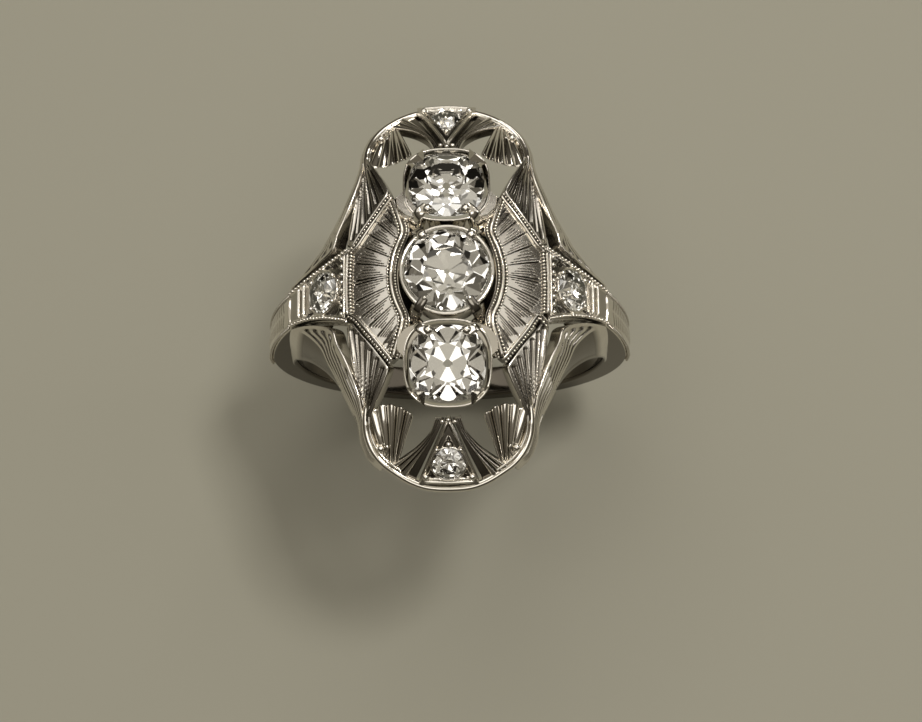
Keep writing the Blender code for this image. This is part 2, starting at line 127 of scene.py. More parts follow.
def dome_radius(angle, below=0.0):
    """Distance from the finger's axis to the dome lowered by below, at an angle from +Z, in radians."""
    centre = HEAD_TOP - DOME_RISE - below
    s, c = math.sin(angle) / HALF_SPAN, math.cos(angle) / DOME_RISE
    h = centre / DOME_RISE
    a, b, k = s * s + c * c, -2.0 * c * h, h * h - 1.0
    return (-b + math.sqrt(b * b - 4.0 * a * k)) / (2.0 * a)


def smooth(points, count):
    """Evenly spaced points on a smooth curve through a few points."""
    p = np.asarray(points, float)
    fine = []
    for i in range(len(p) - 1):
        p0, p1, p2, p3 = p[max(i - 1, 0)], p[i], p[i + 1], p[min(i + 2, len(p) - 1)]
        for t in np.linspace(0.0, 1.0, 12, endpoint=False):
            fine.append(0.5 * (2 * p1 + (p2 - p0) * t + (2 * p0 - 5 * p1 + 4 * p2 - p3) * t * t
                               + (3 * p1 - p0 - 3 * p2 + p3) * t ** 3))
    fine.append(p[-1])
    return even(np.array(fine), count)


def even(path, count):
    """The same path with evenly spaced points."""
    path = np.asarray(path, float)
    steps = np.linalg.norm(np.diff(path, axis=0), axis=1)
    run = np.concatenate([[0.0], np.cumsum(steps)])
    goal = np.linspace(0.0, run[-1], count)
    return np.stack([np.interp(goal, run, path[:, k]) for k in range(path.shape[1])], 1)


def on_dome(plan, lift=0.0):
    """Points of the plan raised to the dome, and lifted off it along its normal."""
    plan = np.asarray(plan, float)
    x, y = plan[:, 0], plan[:, 1]
    return np.stack([x, y, crown(x, y)], 1) + dome_normal(x, y) * np.asarray(lift, float)[..., None]


# ---------------------------------------------------------------- mesh parts: (points, quads, triangles, cut)

def part(points, quads=(), tris=(), cut=None):
    """Points, quads, triangles, and how far each point is darkened: by the patina in its cut, or by painted shade.
    """
    points = np.asarray(points, float).reshape(-1, 3)
    quads = np.asarray(quads, int).reshape(-1, 4)
    tris = np.asarray(tris, int).reshape(-1, 3)
    cut = np.zeros(len(points)) if cut is None else np.asarray(cut, float).reshape(-1)
    return points, quads, tris, cut


def merge(parts):
    """Several parts as one."""
    points, quads, tris, cuts, start = [], [], [], [], 0
    for p, q, t, c in parts:
        points.append(p)
        quads.append(q + start)
        tris.append(t + start)
        cuts.append(c)
        start += len(p)
    return np.concatenate(points), np.concatenate(quads), np.concatenate(tris), np.concatenate(cuts)


def mirrored(a_part, signs):
    """The part in another quadrant, still facing outwards."""
    p, q, t, c = a_part
    p = p * np.array([signs[0], signs[1], 1.0])
    if signs[0] * signs[1] < 0:
        q, t = q[:, ::-1], t[:, ::-1]
    return p, q, t, c


def turned(a_part, matrix, move):
    """The part turned by a matrix, and then moved."""
    p, q, t, c = a_part
    return p @ np.array(matrix).T + np.array(move, float), q, t, c


def outward(a_part):
    """The part with its faces turned outwards, from the sign of its volume."""
    p, q, t, c = a_part
    volume = 0.0
    for f in (q[:, :3], q[:, [0, 2, 3]], t):
        if len(f):
            a, b, d = p[f[:, 0]], p[f[:, 1]], p[f[:, 2]]
            volume += float(np.einsum("ij,ij->i", a, np.cross(b, d)).sum())
    if volume < 0:
        q, t = q[:, ::-1], t[:, ::-1]
    return p, q, t, c


def placed(name, data):
    """A new object of the scene."""
    made = bpy.data.objects.new(name, data)
    bpy.context.scene.collection.objects.link(made)
    return made


def piece(name, parts, slot, nodes, signs=(1, 1)):
    """One object of the ring from its parts, in place of its CAD nodes, clear of the finger's hole."""
    p, q, t, c = mirrored(merge(parts), signs)
    p[:, [0, 2]] *= np.maximum(1.0, HOLE_RADIUS / np.hypot(p[:, 0], p[:, 2]))[:, None]
    mesh = bpy.data.meshes.new(name)
    mesh.vertices.add(len(p))
    mesh.vertices.foreach_set("co", (p * MM).astype(np.float32).ravel())
    loops = np.concatenate([q.ravel(), t.ravel()]).astype(np.int32)
    mesh.loops.add(len(loops))
    mesh.loops.foreach_set("vertex_index", loops)
    sizes = np.concatenate([np.full(len(q), 4), np.full(len(t), 3)]).astype(np.int32)
    starts = np.concatenate([[0], np.cumsum(sizes)[:-1]]).astype(np.int32)
    mesh.polygons.add(len(sizes))
    mesh.polygons.foreach_set("loop_start", starts)
    mesh.update(calc_edges=True)
    mesh.validate()
    mesh.shade_smooth()
    mesh.set_sharp_from_angle(angle=math.radians(SHARP_ANGLE))
    layer = mesh.attributes.new("cut", "FLOAT", "POINT")
    layer.data.foreach_set("value", c.astype(np.float32))
    mesh.materials.append(FINISHES[slot])
    made = placed(name, mesh)
    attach(made, "root")
    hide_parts(*nodes)


def grid_quads(rows, cols, closed=False, ring=False):
    """Quads of a grid of points; closed joins its last column to its first, and ring its last row."""
    i = np.arange(rows if ring else rows - 1)[:, None]
    j = np.arange(cols if closed else cols - 1)[None, :]
    k = (j + 1) % cols
    a, b = i * cols, (i + 1) % rows * cols
    return np.stack([a + j, a + k, b + k, b + j], -1).reshape(-1, 4)


def tube(rings, cut=None):
    """A body through rings of points, closed at both ends."""
    n, k = rings.shape[:2]
    last = (n - 1) * k
    caps = [tri for j in range(1, k - 1) for tri in ((0, j + 1, j), (last, last + j, last + j + 1))]
    return outward(part(rings, grid_quads(n, k, closed=True), caps, cut))


def grid_normals(points, hint):
    """Unit normals of a grid of points, on the side of hint."""
    n = unit(np.cross(np.gradient(points, axis=0), np.gradient(points, axis=1)))
    return n * np.where((n * hint).sum(-1, keepdims=True) < 0, -1.0, 1.0)


def slab(points, relief, thickness, cut=None, hint=(0, 0, 1), bore=True):
    """A closed plate: a grid of points with its relief, thin sides, and a plain underside."""
    rows, cols = relief.shape
    normals = grid_normals(points, np.array(hint, float))
    top = points + normals * relief[..., None]
    edges = points[:, [0, -1]] - normals[:, [0, -1]] * thickness
    if bore:
        low = np.maximum(edges[..., 2], finger_top(edges[..., 0]))
        edges[..., 2] = np.minimum(low, points[:, [0, -1], 2] - 0.14)
    under = rows * cols
    quads = [grid_quads(rows, cols)]
    i = np.arange(rows - 1)
    left, right = under + 2 * i, under + 2 * i + 1
    quads.append(np.stack([left, left + 2, right + 2, right], 1))
    quads.append(np.stack([i * cols, i * cols + cols, left + 2, left], 1))
    quads.append(np.stack([i * cols + cols - 1, right, right + 2, i * cols + 2 * cols - 1], 1))
    tris = []
    for row, flip in ((0, False), (rows - 1, True)):
        chain = [row * cols + j for j in range(cols)] + [under + 2 * row + 1]
        for a, b in zip(chain, chain[1:]):
            tri = (under + 2 * row, a, b)
            tris.append(tri[::-1] if flip else tri)
    shade = np.zeros(relief.shape) if cut is None else cut
    points = np.concatenate([top.reshape(-1, 3), edges.reshape(-1, 3)])
    # The sides darken towards their under-edges: painted shade.
    cuts = np.concatenate([shade.ravel(), np.full(2 * rows, UNDERSIDE_PAINTED_SHADE)])
    return outward(part(points, np.concatenate(quads), tris, cuts))


def sweep(path, normals, profile, taper=None, closed=False, cut=None):
    """A profile of (across, up) points swept along a path; taper scales it point by point."""
    path, normals, profile = (np.asarray(a, float) for a in (path, normals, profile))
    along = unit(np.roll(path, -1, 0) - np.roll(path, 1, 0) if closed else np.gradient(path, axis=0))
    side = unit(np.cross(normals, along))
    scale = (np.ones(len(path)) if taper is None else np.asarray(taper, float))[:, None, None]
    rings = (path[:, None] + side[:, None] * (profile[None, :, :1] * scale)
             + normals[:, None] * (profile[None, :, 1:] * scale))
    n, k = rings.shape[:2]
    cuts = None if cut is None else np.full(n * k, cut)
    if closed:
        return outward(part(rings, grid_quads(n, k, closed=True, ring=True), (), cuts))
    return tube(rings, cuts)


def wire(plan, profile, lift=0.0, taper=None, cut=None):
    """A profile swept along a path of the plan, upright on the dome."""
    return sweep(on_dome(plan, lift), dome_normal(plan[:, 0], plan[:, 1]), profile, taper, cut=cut)


def half_round(width, height, base=0.3, steps=8):
    """Profile of a wire with a round top and a square root."""
    a = np.linspace(0.0, math.pi, steps + 1)
    arc = np.stack([width * np.cos(a), height * np.sin(a)], 1)
    return np.concatenate([arc, [[-width, -base], [width, -base]]])


def icosphere(level):
    """Points and triangles of a unit sphere."""
    work = bmesh.new()
    bmesh.ops.create_icosphere(work, subdivisions=level, radius=1.0)
    p = np.array([v.co[:] for v in work.verts])
    t = np.array([[v.index for v in f.verts] for f in work.faces])
    work.free()
    return p, t


GRAIN, PEARL = icosphere(2), icosphere(3)


def beads(centres, radius, shape=GRAIN):
    """Round grains, one at each centre."""
    p, t = shape
    centres = np.asarray(centres, float).reshape(-1, 3)
    radius = np.broadcast_to(np.asarray(radius, float), (len(centres),))
    points = centres[:, None] + p[None] * radius[:, None, None]
    tris = t[None] + (np.arange(len(centres)) * len(p))[:, None, None]
    return part(points, (), tris)


def milgrain(plan, pitch=0.185, radius=0.085, lift=0.1):
    """A row of grains along a path of the plan, each a little different, as a knurl rolls them."""
    plan = np.asarray(plan, float)
    length = np.linalg.norm(np.diff(plan, axis=0), axis=1).sum()
    spots = even(plan, max(2, int(round(length / pitch)) + 1))
    sizes = radius * rng.uniform(0.9, 1.12, len(spots))
    return beads(on_dome(spots, lift), sizes)


def ridge(plan, width=0.08, height=0.09, lift=0.08, steps=8):
    """A polished raised line along a path of the plan, with ends that die away."""
    plan = np.asarray(plan, float)
    taper = np.ones(len(plan))
    taper[0] = taper[-1] = 0.45
    taper[1] = taper[-2] = 0.85
    return wire(plan, half_round(width, height, 0.25, steps), lift, taper)


def offset(plan, distance):
    """The path moved sideways, to its left when the distance is positive."""
    plan = np.asarray(plan, float)
    along = unit(np.gradient(plan, axis=0))
    return plan + np.stack([-along[:, 1], along[:, 0]], 1) * distance


# ---------------------------------------------------------------- relief in a plate's surface

def groove(x, y, a, b, wide_a, wide_b, depth, power=0.7):
    """Depth of a graver's cut from a to b, wide_a and wide_b across at its rounded ends."""
    ax, ay = a
    dx, dy = b[0] - ax, b[1] - ay
    length = math.hypot(dx, dy)
    along = ((x - ax) * dx + (y - ay) * dy) / length
    across = ((x - ax) * dy - (y - ay) * dx) / length
    half = 0.5 * (wide_a + (wide_b - wide_a) * np.clip(along / length, 0.0, 1.0))
    over = np.maximum(0.0, np.maximum(-along, along - length)) / np.maximum(1e-6, half)
    t = (across / half) ** 2 + over ** 2
    return depth * np.maximum(0.0, 1.0 - t) ** power


def engrave(x, y, cuts):
    """Depth of many cuts, each given by the rest of groove's arguments."""
    depth = np.zeros(x.shape)
    for cut in cuts:
        depth = np.maximum(depth, groove(x, y, *cut))
    return depth


def rise(value, start, width):
    """0 up to a start, then rising evenly to 1 over a width."""
    return np.clip((value - start) / width, 0.0, 1.0)


def between(value, low, high, soft):
    """1 between two limits, falling to 0 at them over a soft width."""
    return rise(value, low, soft) * rise(-value, -high, soft)


def near(x, y, path):
    """Distance from every point to a path of the plan."""
    best = np.full(x.shape, 1e9)
    for (ax, ay), (bx, by) in zip(path[:-1], path[1:]):
        dx, dy = bx - ax, by - ay
        t = np.clip(((x - ax) * dx + (y - ay) * dy) / max(1e-12, dx * dx + dy * dy), 0.0, 1.0)
        best = np.minimum(best, np.hypot(x - ax - t * dx, y - ay - t * dy))
    return best


def hump(distance, half):
    """1 on a line, falling in a round shoulder to 0 at half its width."""
    return np.sqrt(np.maximum(0.0, 1.0 - (distance / half) ** 2))


def soft_edge(grid, radius):
    """How far a rounded edge falls below the surface, over a grid of points."""
    step_u = np.linalg.norm(np.diff(grid, axis=0), axis=-1)
    step_v = np.linalg.norm(np.diff(grid, axis=1), axis=-1)
    run_u = np.concatenate([np.zeros((1, grid.shape[1])), np.cumsum(step_u, 0)], 0)
    run_v = np.concatenate([np.zeros((grid.shape[0], 1)), np.cumsum(step_v, 1)], 1)
    d = np.minimum(np.minimum(run_u, run_u[-1:] - run_u), np.minimum(run_v, run_v[:, -1:] - run_v))
    return radius - np.sqrt(np.maximum(0.0, radius ** 2 - np.maximum(0.0, radius - d) ** 2))


def share(count, edge=0.012):
    """Even shares from 0 to 1, with a few more close to both ends."""
    inner = np.linspace(4 * edge, 1.0 - 4 * edge, count)
    return np.concatenate([[0.0, edge * 0.5, edge, edge * 2.2], inner,
                           [1 - edge * 2.2, 1 - edge, 1 - edge * 0.5, 1.0]])


def ruled(places, low, high, count):
    """Grid of points between two edges given over a row of places: (places, between the edges)."""
    t = share(count, 0.01)
    return np.repeat(places[:, None], len(t), 1), low[:, None] * (1 - t) + high[:, None] * t


def plate_grid(inner, outer, rows, cols, top=0.0, roll=0.0, wall=False):
    """Grid of points on the dome between two edges of the plan.

    roll turns the outer edge down; a wall turns down until it is close to the finger.
    """
    a, b = smooth(inner, rows), smooth(outer, rows)
    t = share(cols)
    plan = a[:, None] * (1 - t[None, :, None]) + b[:, None] * t[None, :, None]
    x, y = plan[..., 0], plan[..., 1]
    turn_down = crown(x, y) - finger_top(x) - WALL_FOOT if wall else roll
    roundness = WALL_ROUNDNESS if wall else EDGE_ROUNDNESS
    fall = turn_down * (1.0 - np.sqrt(1.0 - roundness * t * t))[None, :]
    return np.stack([x, y, crown(x, y) + top - fall], -1)


def plate(grid, relief, cut, thickness, edge=0.1):
    """A slab with rounded edges on the dome."""
    return slab(grid, relief - soft_edge(grid, edge), thickness, cut)


# ---------------------------------------------------------------- finishes

WHITE_GOLD, MOTTLED_GOLD = (0.80, 0.765, 0.70), (0.72, 0.6885, 0.63)


def add_node(tree, kind, **values):
    """A new shader node with some of its inputs set."""
    made = tree.nodes.new("ShaderNode" + kind)
    for name, value in values.items():
        made.inputs[name].default_value = value
    return made


def add_ramp(tree, *stops):
    """A colour ramp of (position, colour) stops."""
    made = tree.nodes.new("ShaderNodeValToRGB")
    elements = made.color_ramp.elements
    for i, (position, colour) in enumerate(stops):
        stop = elements[i] if i < 2 else elements.new(position)
        stop.position, stop.color = position, (*colour, 1.0)
    return made


def paint(name, inputs):
    """A material with some of its shader's inputs set."""
    made = bpy.data.materials.new(name)
    made.use_nodes = True
    for key, value in inputs.items():
        made.node_tree.nodes["Principled BSDF"].inputs[key].default_value = value
    return made


def gold(name, roughness, grain, dark):
    """White gold: a metal darkened by its cut attribute, with a dark patina in its cuts and painted shade on its
    sides, undersides and some sunk fields, and fine wear in its polish.
    """
    made = paint(name, {"Metallic": 1.0, "Roughness": roughness})
    tree = made.node_tree
    shader = tree.nodes["Principled BSDF"]
    place = add_node(tree, "TexCoord")
    mottle = add_node(tree, "TexNoise", Scale=900.0, Detail=3.0)
    tint = add_ramp(tree, (0.35, MOTTLED_GOLD), (0.7, WHITE_GOLD))
    cut = add_node(tree, "Attribute")
    cut.attribute_name = "cut"
    mix = add_node(tree, "Mix")
    mix.data_type = "RGBA"
    mix.inputs["B"].default_value = (*dark, 1.0)
    scratch = add_node(tree, "TexNoise", Scale=5200.0, Detail=4.0)
    bump = add_node(tree, "Bump", Strength=grain, Distance=0.00002)
    for source, output, target, into in (
            (place, "Object", mottle, "Vector"), (mottle, "Fac", tint, "Fac"), (cut, "Fac", mix, "Factor"),
            (tint, "Color", mix, "A"), (mix, "Result", shader, "Base Color"), (place, "Object", scratch, "Vector"),
            (scratch, "Fac", bump, "Height"), (bump, "Normal", shader, "Normal")):
        tree.links.new(source.outputs[output], target.inputs[into])
    return made


POLISHED, ENGRAVED, GRAINED = "polished_white_gold", "engraved_white_gold", "milgrain_white_gold"
FINISHES = {POLISHED: gold(POLISHED, 0.09, 0.03, (0.10, 0.085, 0.065)),
            ENGRAVED: gold(ENGRAVED, 0.19, 0.05, (0.06, 0.048, 0.034)),
            GRAINED: gold(GRAINED, 0.12, 0.04, (0.05, 0.042, 0.03))}
DIAMOND = paint("diamond", {"Base Color": (1.0, 0.995, 0.965, 1.0), "Roughness": 0.0, "IOR": 2.42,
                            "Transmission Weight": 1.0})


# ---------------------------------------------------------------- stones

def half_space(azimuth, slope, rho, height):
    """Plane (normal, distance) that rises inwards at a slope and passes rho out at a height."""
    s, c = math.sin(slope), math.cos(slope)
    return (s * math.cos(azimuth), s * math.sin(azimuth), c), rho * s + height * c


def brilliant(radius, power=2.0, table=0.52, crown_slope=36.0, culet=0.06, lower=0.925):
    """An old-cut diamond of unit planes: table, 8 kites, 8 stars, 16 upper and 24 lower facets."""
    def reach(a):
        """How far out the outline lies at an angle."""
        c, s = abs(math.cos(a)), abs(math.sin(a))
        return (c ** power + s ** power) ** (-1.0 / power)

    work = bmesh.new()
    count = 64
    ring = [(reach(2 * math.pi * i / count), 2 * math.pi * i / count) for i in range(count)]
    low = [work.verts.new((r * math.cos(a), r * math.sin(a), -1.3)) for r, a in ring]
    high = [work.verts.new((r * math.cos(a), r * math.sin(a), 0.7)) for r, a in ring]
    for i in range(count):
        k = (i + 1) % count
        work.faces.new((low[i], low[k], high[k], high[i]))
    work.faces.new(high)
    work.faces.new(low[::-1])

    edge = 0.02
    high_crown = (1.0 - table) * math.tan(math.radians(crown_slope))
    planes = [((0.0, 0.0, 1.0), edge + high_crown)]
    deep = (1.0 - culet) * 0.863 + edge
    planes.append(((0.0, 0.0, -1.0), deep))
    for k in range(8):
        a = k * math.pi / 4
        o = reach(a)
        planes.append(half_space(a, math.atan2(high_crown, o * (1.0 - table)), o, edge))
        n, d = half_space(a, math.atan2(deep - edge, o - culet), o, edge)
        planes.append(((n[0], n[1], -n[2]), d))
        mid = a + math.pi / 8
        o = reach(mid)
        planes.append(half_space(mid, math.radians(19.0), table * o * math.cos(math.pi / 8), edge + high_crown))
        for turn in (-1, 1):
            b = a + turn * math.pi / 16
            o = reach(b)
            planes.append(half_space(b, math.radians(44.0), o, edge - 0.012))
            n, d = half_space(b, math.atan(lower * (deep - edge) / 0.863 / (o * (1.0 - culet)) * 1.06),
                              o, edge - 0.012)
            planes.append(((n[0], n[1], -n[2]), d))
    for n, d in planes:
        normal = Vector(n)
        geometry = work.verts[:] + work.edges[:] + work.faces[:]
        done = bmesh.ops.bisect_plane(work, geom=geometry, dist=1e-6, plane_co=normal * d,
                                      plane_no=normal, clear_outer=True)
        rim = [e for e in done["geom_cut"] if isinstance(e, bmesh.types.BMEdge)]
        if len(rim) > 2:
            bmesh.ops.contextual_create(work, geom=rim)
    bmesh.ops.remove_doubles(work, verts=work.verts[:], dist=1e-4)
    bmesh.ops.dissolve_degenerate(work, edges=work.edges[:], dist=1e-4)
    bmesh.ops.recalc_face_normals(work, faces=work.faces[:])
    bmesh.ops.scale(work, vec=(radius * MM,) * 3, verts=work.verts[:])
    return work


def stone(name, radius, centre, normal, spin=0.0, **cut):
    """One faceted stone in the place of its CAD solid."""
    work = brilliant(radius, **cut)
    turn = Vector((0, 0, 1)).rotation_difference(Vector(normal).normalized())
    place = (Matrix.Translation(Vector(centre) * MM) @ turn.to_matrix().to_4x4()
             @ Matrix.Rotation(math.radians(spin), 4, "Z"))
    work.transform(place)
    mesh = bpy.data.meshes.new(name)
    work.to_mesh(mesh)
    work.free()
    mesh.shade_flat()
    mesh.materials.append(DIAMOND)
    made = placed("facets_" + name, mesh)
    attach(made, "root")
    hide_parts(name)


def lean(sign):
    """Turn of a box setting, whose stone tips outwards with the dome."""
    return np.array(Matrix.Rotation(math.radians(-sign * SIDE_STONE_TILT), 3, "X"))


def stones():
    """The seven diamonds."""
    stone("diamond_centre", CENTRE_STONE_RADIUS, (0, 0, CENTRE_GIRDLE_HEIGHT), (0, 0, 1), 8.0)
    for side, sign in NORTH_SOUTH.items():
        up = lean(sign) @ np.array([0.0, 0.0, 1.0])
        stone("diamond_" + side, SIDE_STONE_RADIUS * 0.97, (0, sign * SIDE_STONE_Y, SIDE_GIRDLE_HEIGHT),
              up, 0.0, power=2.5, table=0.5, crown_slope=34.0, culet=0.1)
        stone("diamond_end_" + side, END_STONE_RADIUS, on_dome([(0.0, sign * END_STONE_Y)])[0],
              dome_normal(0.0, sign * END_STONE_Y), 11.0, table=0.5)
    for side, sign in EAST_WEST.items():
        stone("diamond_shoulder_" + side, SHOULDER_STONE_RADIUS,
              on_dome([(sign * SHOULDER_STONE_X, 0.0)])[0], dome_normal(sign * SHOULDER_STONE_X, 0.0),
              5.0, table=0.52)


# ---------------------------------------------------------------- settings

def outline(radius, count, power):
    """A round outline, squarer as power grows past 2."""
    a = np.linspace(0.0, 2.0 * math.pi, count, endpoint=False)
    c, s = np.cos(a), np.sin(a)
    size = radius / (np.abs(c) ** power + np.abs(s) ** power) ** (1.0 / power)
    return np.stack([size * c, size * s], 1)


def collet(radius, power, rim):
    """The flaring wall round one stone, with a rounded, polished rim."""
    inner = radius + SEAT_CLEARANCE
    wall = inner + COLLET_WALL
    profile = [(wall * 0.9, -COLLET_DEPTH), (wall, -0.35), (wall + 0.02, -0.12)]
    for a in np.linspace(-0.3, math.pi, 9):
        profile.append((wall - rim + rim * math.cos(a) + 0.03, 0.05 + rim * math.sin(a)))
    profile += [(inner, -0.06), (inner * 0.97, -0.5), (inner * 0.9, -COLLET_DEPTH)]
    count = COLLET_SIDES
    rings = [np.column_stack([outline(r, count, power), np.full(count, h)]) for r, h in profile]
    # The lower outer wall and the inner foot are painted darker: painted shade.
    cut = np.concatenate([np.full(count, 0.0 if h > -0.4 else 0.35) for _, h in profile])
    cut[-2 * count:] = 0.6
    return outward(part(np.concatenate(rings), grid_quads(len(profile), count, closed=True, ring=True), (), cut))


def claw(foot, knee, tip, widths, depths, cut=0.0):
    """A prong that rises from its foot, bends at its knee and lies over the stone with its tip."""
    steps = CLAW_STEPS
    path = smooth([foot, knee, tip], steps)
    out = unit(np.array([knee[0], knee[1], 0.0]))
    along = unit(np.gradient(path, axis=0))
    normals = unit(out - along * (along @ out)[:, None] + np.array([0.0, 0.0, 0.001]))
    share_of = np.linspace(0.0, 1.0, steps)
    w = np.interp(share_of, np.linspace(0, 1, len(widths)), widths)
    d = np.interp(share_of, np.linspace(0, 1, len(depths)), depths)
    side = np.cross(normals, along)
    shape = [(1.0, -0.6), (1.0, 0.25), (0.72, 0.85), (0.0, 1.0), (-0.72, 0.85), (-1.0, 0.25), (-1.0, -0.6)]
    rings = [path[i] + np.outer([s[0] for s in shape], side[i]) * w[i]
             + np.outer([s[1] for s in shape], normals[i]) * d[i] for i in range(steps)]
    return tube(np.array(rings), np.full(steps * len(shape), cut))


def centre_setting():
    """The round setting: two domed prongs at its north, two long flat ones at its south."""
    parts = [collet(CENTRE_STONE_RADIUS, 2.0, rim=0.1)]
    for degrees in (55, 125, 235, 305):
        a = math.radians(degrees)
        c, s = math.cos(a), math.sin(a)
        if s < 0:
            foot, knee, tip = (3.0, -0.95), (2.66, 0.1), (2.0, 0.5)
            widths, depths, bead, at = (0.2, 0.3, 0.2), (0.16, 0.14, 0.08), 0.13, (2.02, 0.52)
        else:
            foot, knee, tip = (2.8, -1.0), (2.58, 0.1), (2.1, 0.34)
            widths, depths, bead, at = (0.3, 0.3, 0.22), (0.2, 0.16, 0.1), 0.28, (2.2, 0.3)
        # The southern prongs are painted dark: painted shade.
        parts.append(claw(*[(r * c, r * s, h) for r, h in (foot, knee, tip)], widths, depths,
                          cut=0.75 if s < 0 else 0.0))
        parts.append(beads([(at[0] * c, at[0] * s, at[1])], bead, PEARL))
    move = (0.0, 0.0, CENTRE_GIRDLE_HEIGHT)
    piece("centre_collet_claws", [turned(p, np.eye(3), move) for p in parts], POLISHED, ["centre_collet"])


def corner_cap(sx, sy):
    """A flat three-sided pyramid that fills one corner and laps over the stone."""
    plan = [(1.16, 1.42), (1.2, 2.2), (2.14, 1.2)]
    low = [(x * sx, y * sy, -0.75) for x, y in plan]
    mid = [(x * sx, y * sy, 0.16) for x, y in plan]
    points = low + mid + [(1.5 * sx, 1.62 * sy, 0.46)]
    quads = grid_quads(2, 3, closed=True)
    tris = [(3, 4, 6), (4, 5, 6), (5, 3, 6), (0, 2, 1)]
    return outward(part(points, quads, tris))


def corner_flat(sx, sy):
    """A plain polished plate beside an inner corner, over the foot of its prong."""
    plan = np.array([(1.3, 1.72), (1.78, 1.2), (2.3, 0.35), (2.62, 0.75), (2.56, 1.35), (2.1, 1.86), (1.5, 2.06)])
    middle = plan.mean(0)
    rings = [np.column_stack([(middle + (plan - middle) * shrink) * (sx, sy), np.full(len(plan), z)])
             for shrink, z in ((1.0, -1.0), (1.0, -0.1), (0.96, -0.02))]
    return tube(np.array(rings))


def box_setting(side, sign):
    """The squarish setting: two flat three-sided corner prongs outside, two beads beside the centre."""
    parts = [collet(SIDE_STONE_RADIUS, 2.7, rim=0.06)]
    for sx in (-1, 1):
        parts.append(corner_cap(sx, sign))
        parts.append(corner_flat(sx, -sign))
        x, y = sx * 1.12, -sign * 1.62
        parts.append(claw((x * 1.45, y * 1.3, -0.9), (x * 1.3, y * 1.18, 0.1), (x * 0.95, y * 0.93, 0.36),
                          (0.36, 0.34, 0.2), (0.16, 0.14, 0.1)))
        parts.append(beads([(x * 0.88, y * 1.04, 0.3)], 0.27, PEARL))
    move = (0.0, sign * SIDE_STONE_Y, SIDE_GIRDLE_HEIGHT)
    piece("box_setting_claws_" + side, [turned(p, lean(sign), move) for p in parts], POLISHED,
          ["box_setting_" + side])


# ---------------------------------------------------------------- cartouche

ARC_MIDDLE, ARC_RADIUS, ARC_TURN_Y, ARC_FLARE = 2.86, 4.2, 2.3, 0.3
ARC_SOFTNESS = 0.16
BORDER_INNER_END, BORDER_OUTER_END = (2.9, 4.5), (4.85, 1.85)
SHOULDER_BORDER_X = 5.13


def arc_x(y):
    """The beaded arc beside the centre stone: a round bow that flares along the box settings."""
    y = np.abs(y)
    beyond = ARC_SOFTNESS * np.log1p(np.exp((y - ARC_TURN_Y) / ARC_SOFTNESS))
    bend = ARC_MIDDLE - (ARC_RADIUS - np.sqrt(ARC_RADIUS ** 2 - (y - beyond) ** 2))
    return bend + beyond * ARC_FLARE


def border_x(y):
    """The cartouche's outer edge: upright in the middle, then slanting in to the box settings."""
    y = np.abs(y)
    t = (y - BORDER_OUTER_END[1]) / (BORDER_INNER_END[1] - BORDER_OUTER_END[1])
    slant = BORDER_OUTER_END[0] + (BORDER_INNER_END[0] - BORDER_OUTER_END[0]) * t
    return np.where(y <= BORDER_OUTER_END[1], SHOULDER_BORDER_X - 0.02, slant)


def ray_angle(y):
    """Direction of the sunburst's ray that starts at a height on the arc, in radians."""
    known_y = [0.0, 0.5, 1.0, 1.6, 2.07, 2.76, 3.9]
    known = [0.0, 15.0, 30.0, 39.0, 47.0, 55.0, 64.0]
    return np.sign(y) * np.radians(np.interp(np.abs(y), known_y, known))


CARTOUCHE_REACH, SUNBURST_REACH = 4.3, 3.95
SUNBURST_BUNDLES, SUNBURST_LINES = 16, 5


def cartouche_plate(side, sign):
    """The engraved plate: bundles of fine cuts fan out from the arc to the border."""
    ys = np.linspace(-CARTOUCHE_REACH, CARTOUCHE_REACH, 400)
    inner = arc_x(ys) + 0.12
    outer = np.minimum(border_x(ys) - 0.1, SHOULDER_BORDER_X - 0.12)
    outer = np.maximum(outer, inner + 0.15)
    y, x = ruled(ys, inner, outer, 76)
    cuts = []
    for b in range(SUNBURST_BUNDLES):
        for j in range(SUNBURST_LINES):
            foot_y = SUNBURST_REACH * (2.0 * (b + (j + 0.5) / SUNBURST_LINES) / SUNBURST_BUNDLES - 1.0)
            angle = ray_angle(foot_y) + rng.normal(0.0, 0.006)
            c, s = math.cos(angle), math.sin(angle)
            fx = float(arc_x(foot_y)) + 0.24
            run = np.linspace(0.0, 3.2, 161)
            outside = (fx + c * run) > (border_x(foot_y + s * run) - 0.3)
            if not outside.any():
                continue
            length = run[int(np.argmax(outside))]
            if length < 0.25:
                continue
            rank = j if foot_y > 0 else SUNBURST_LINES - 1 - j
            a = length * (0.02 + 0.11 * rank + rng.uniform(0.0, 0.03))
            z = length * (1.0 - 0.06 * rank - rng.uniform(0.0, 0.03))
            wide, deep = (0.055, 0.05) if rank else (0.12, 0.08)
            cuts.append(((fx + c * a, foot_y + s * a), (fx + c * z, foot_y + s * z), 0.03, wide, deep, 1.0))
    depth = engrave(x, y, cuts)
    grid = np.stack([x, y, crown(x, y)], -1)
    parts = [plate(grid, -depth, rise(depth, 0.0, 0.05) * 0.85, PLATE_THICKNESS, 0.05)]
    piece("sunburst_plate_" + side, parts, ENGRAVED, ["cartouche_plate_" + side], (sign, 1))


def strip(wide, flat, edge, top, depth):
    """Profile of the strip under a border: a flat top between two sloping edges."""
    return [(-wide, -depth), (-wide, edge), (-flat, top), (flat, top), (wide, edge), (wide, -depth)]


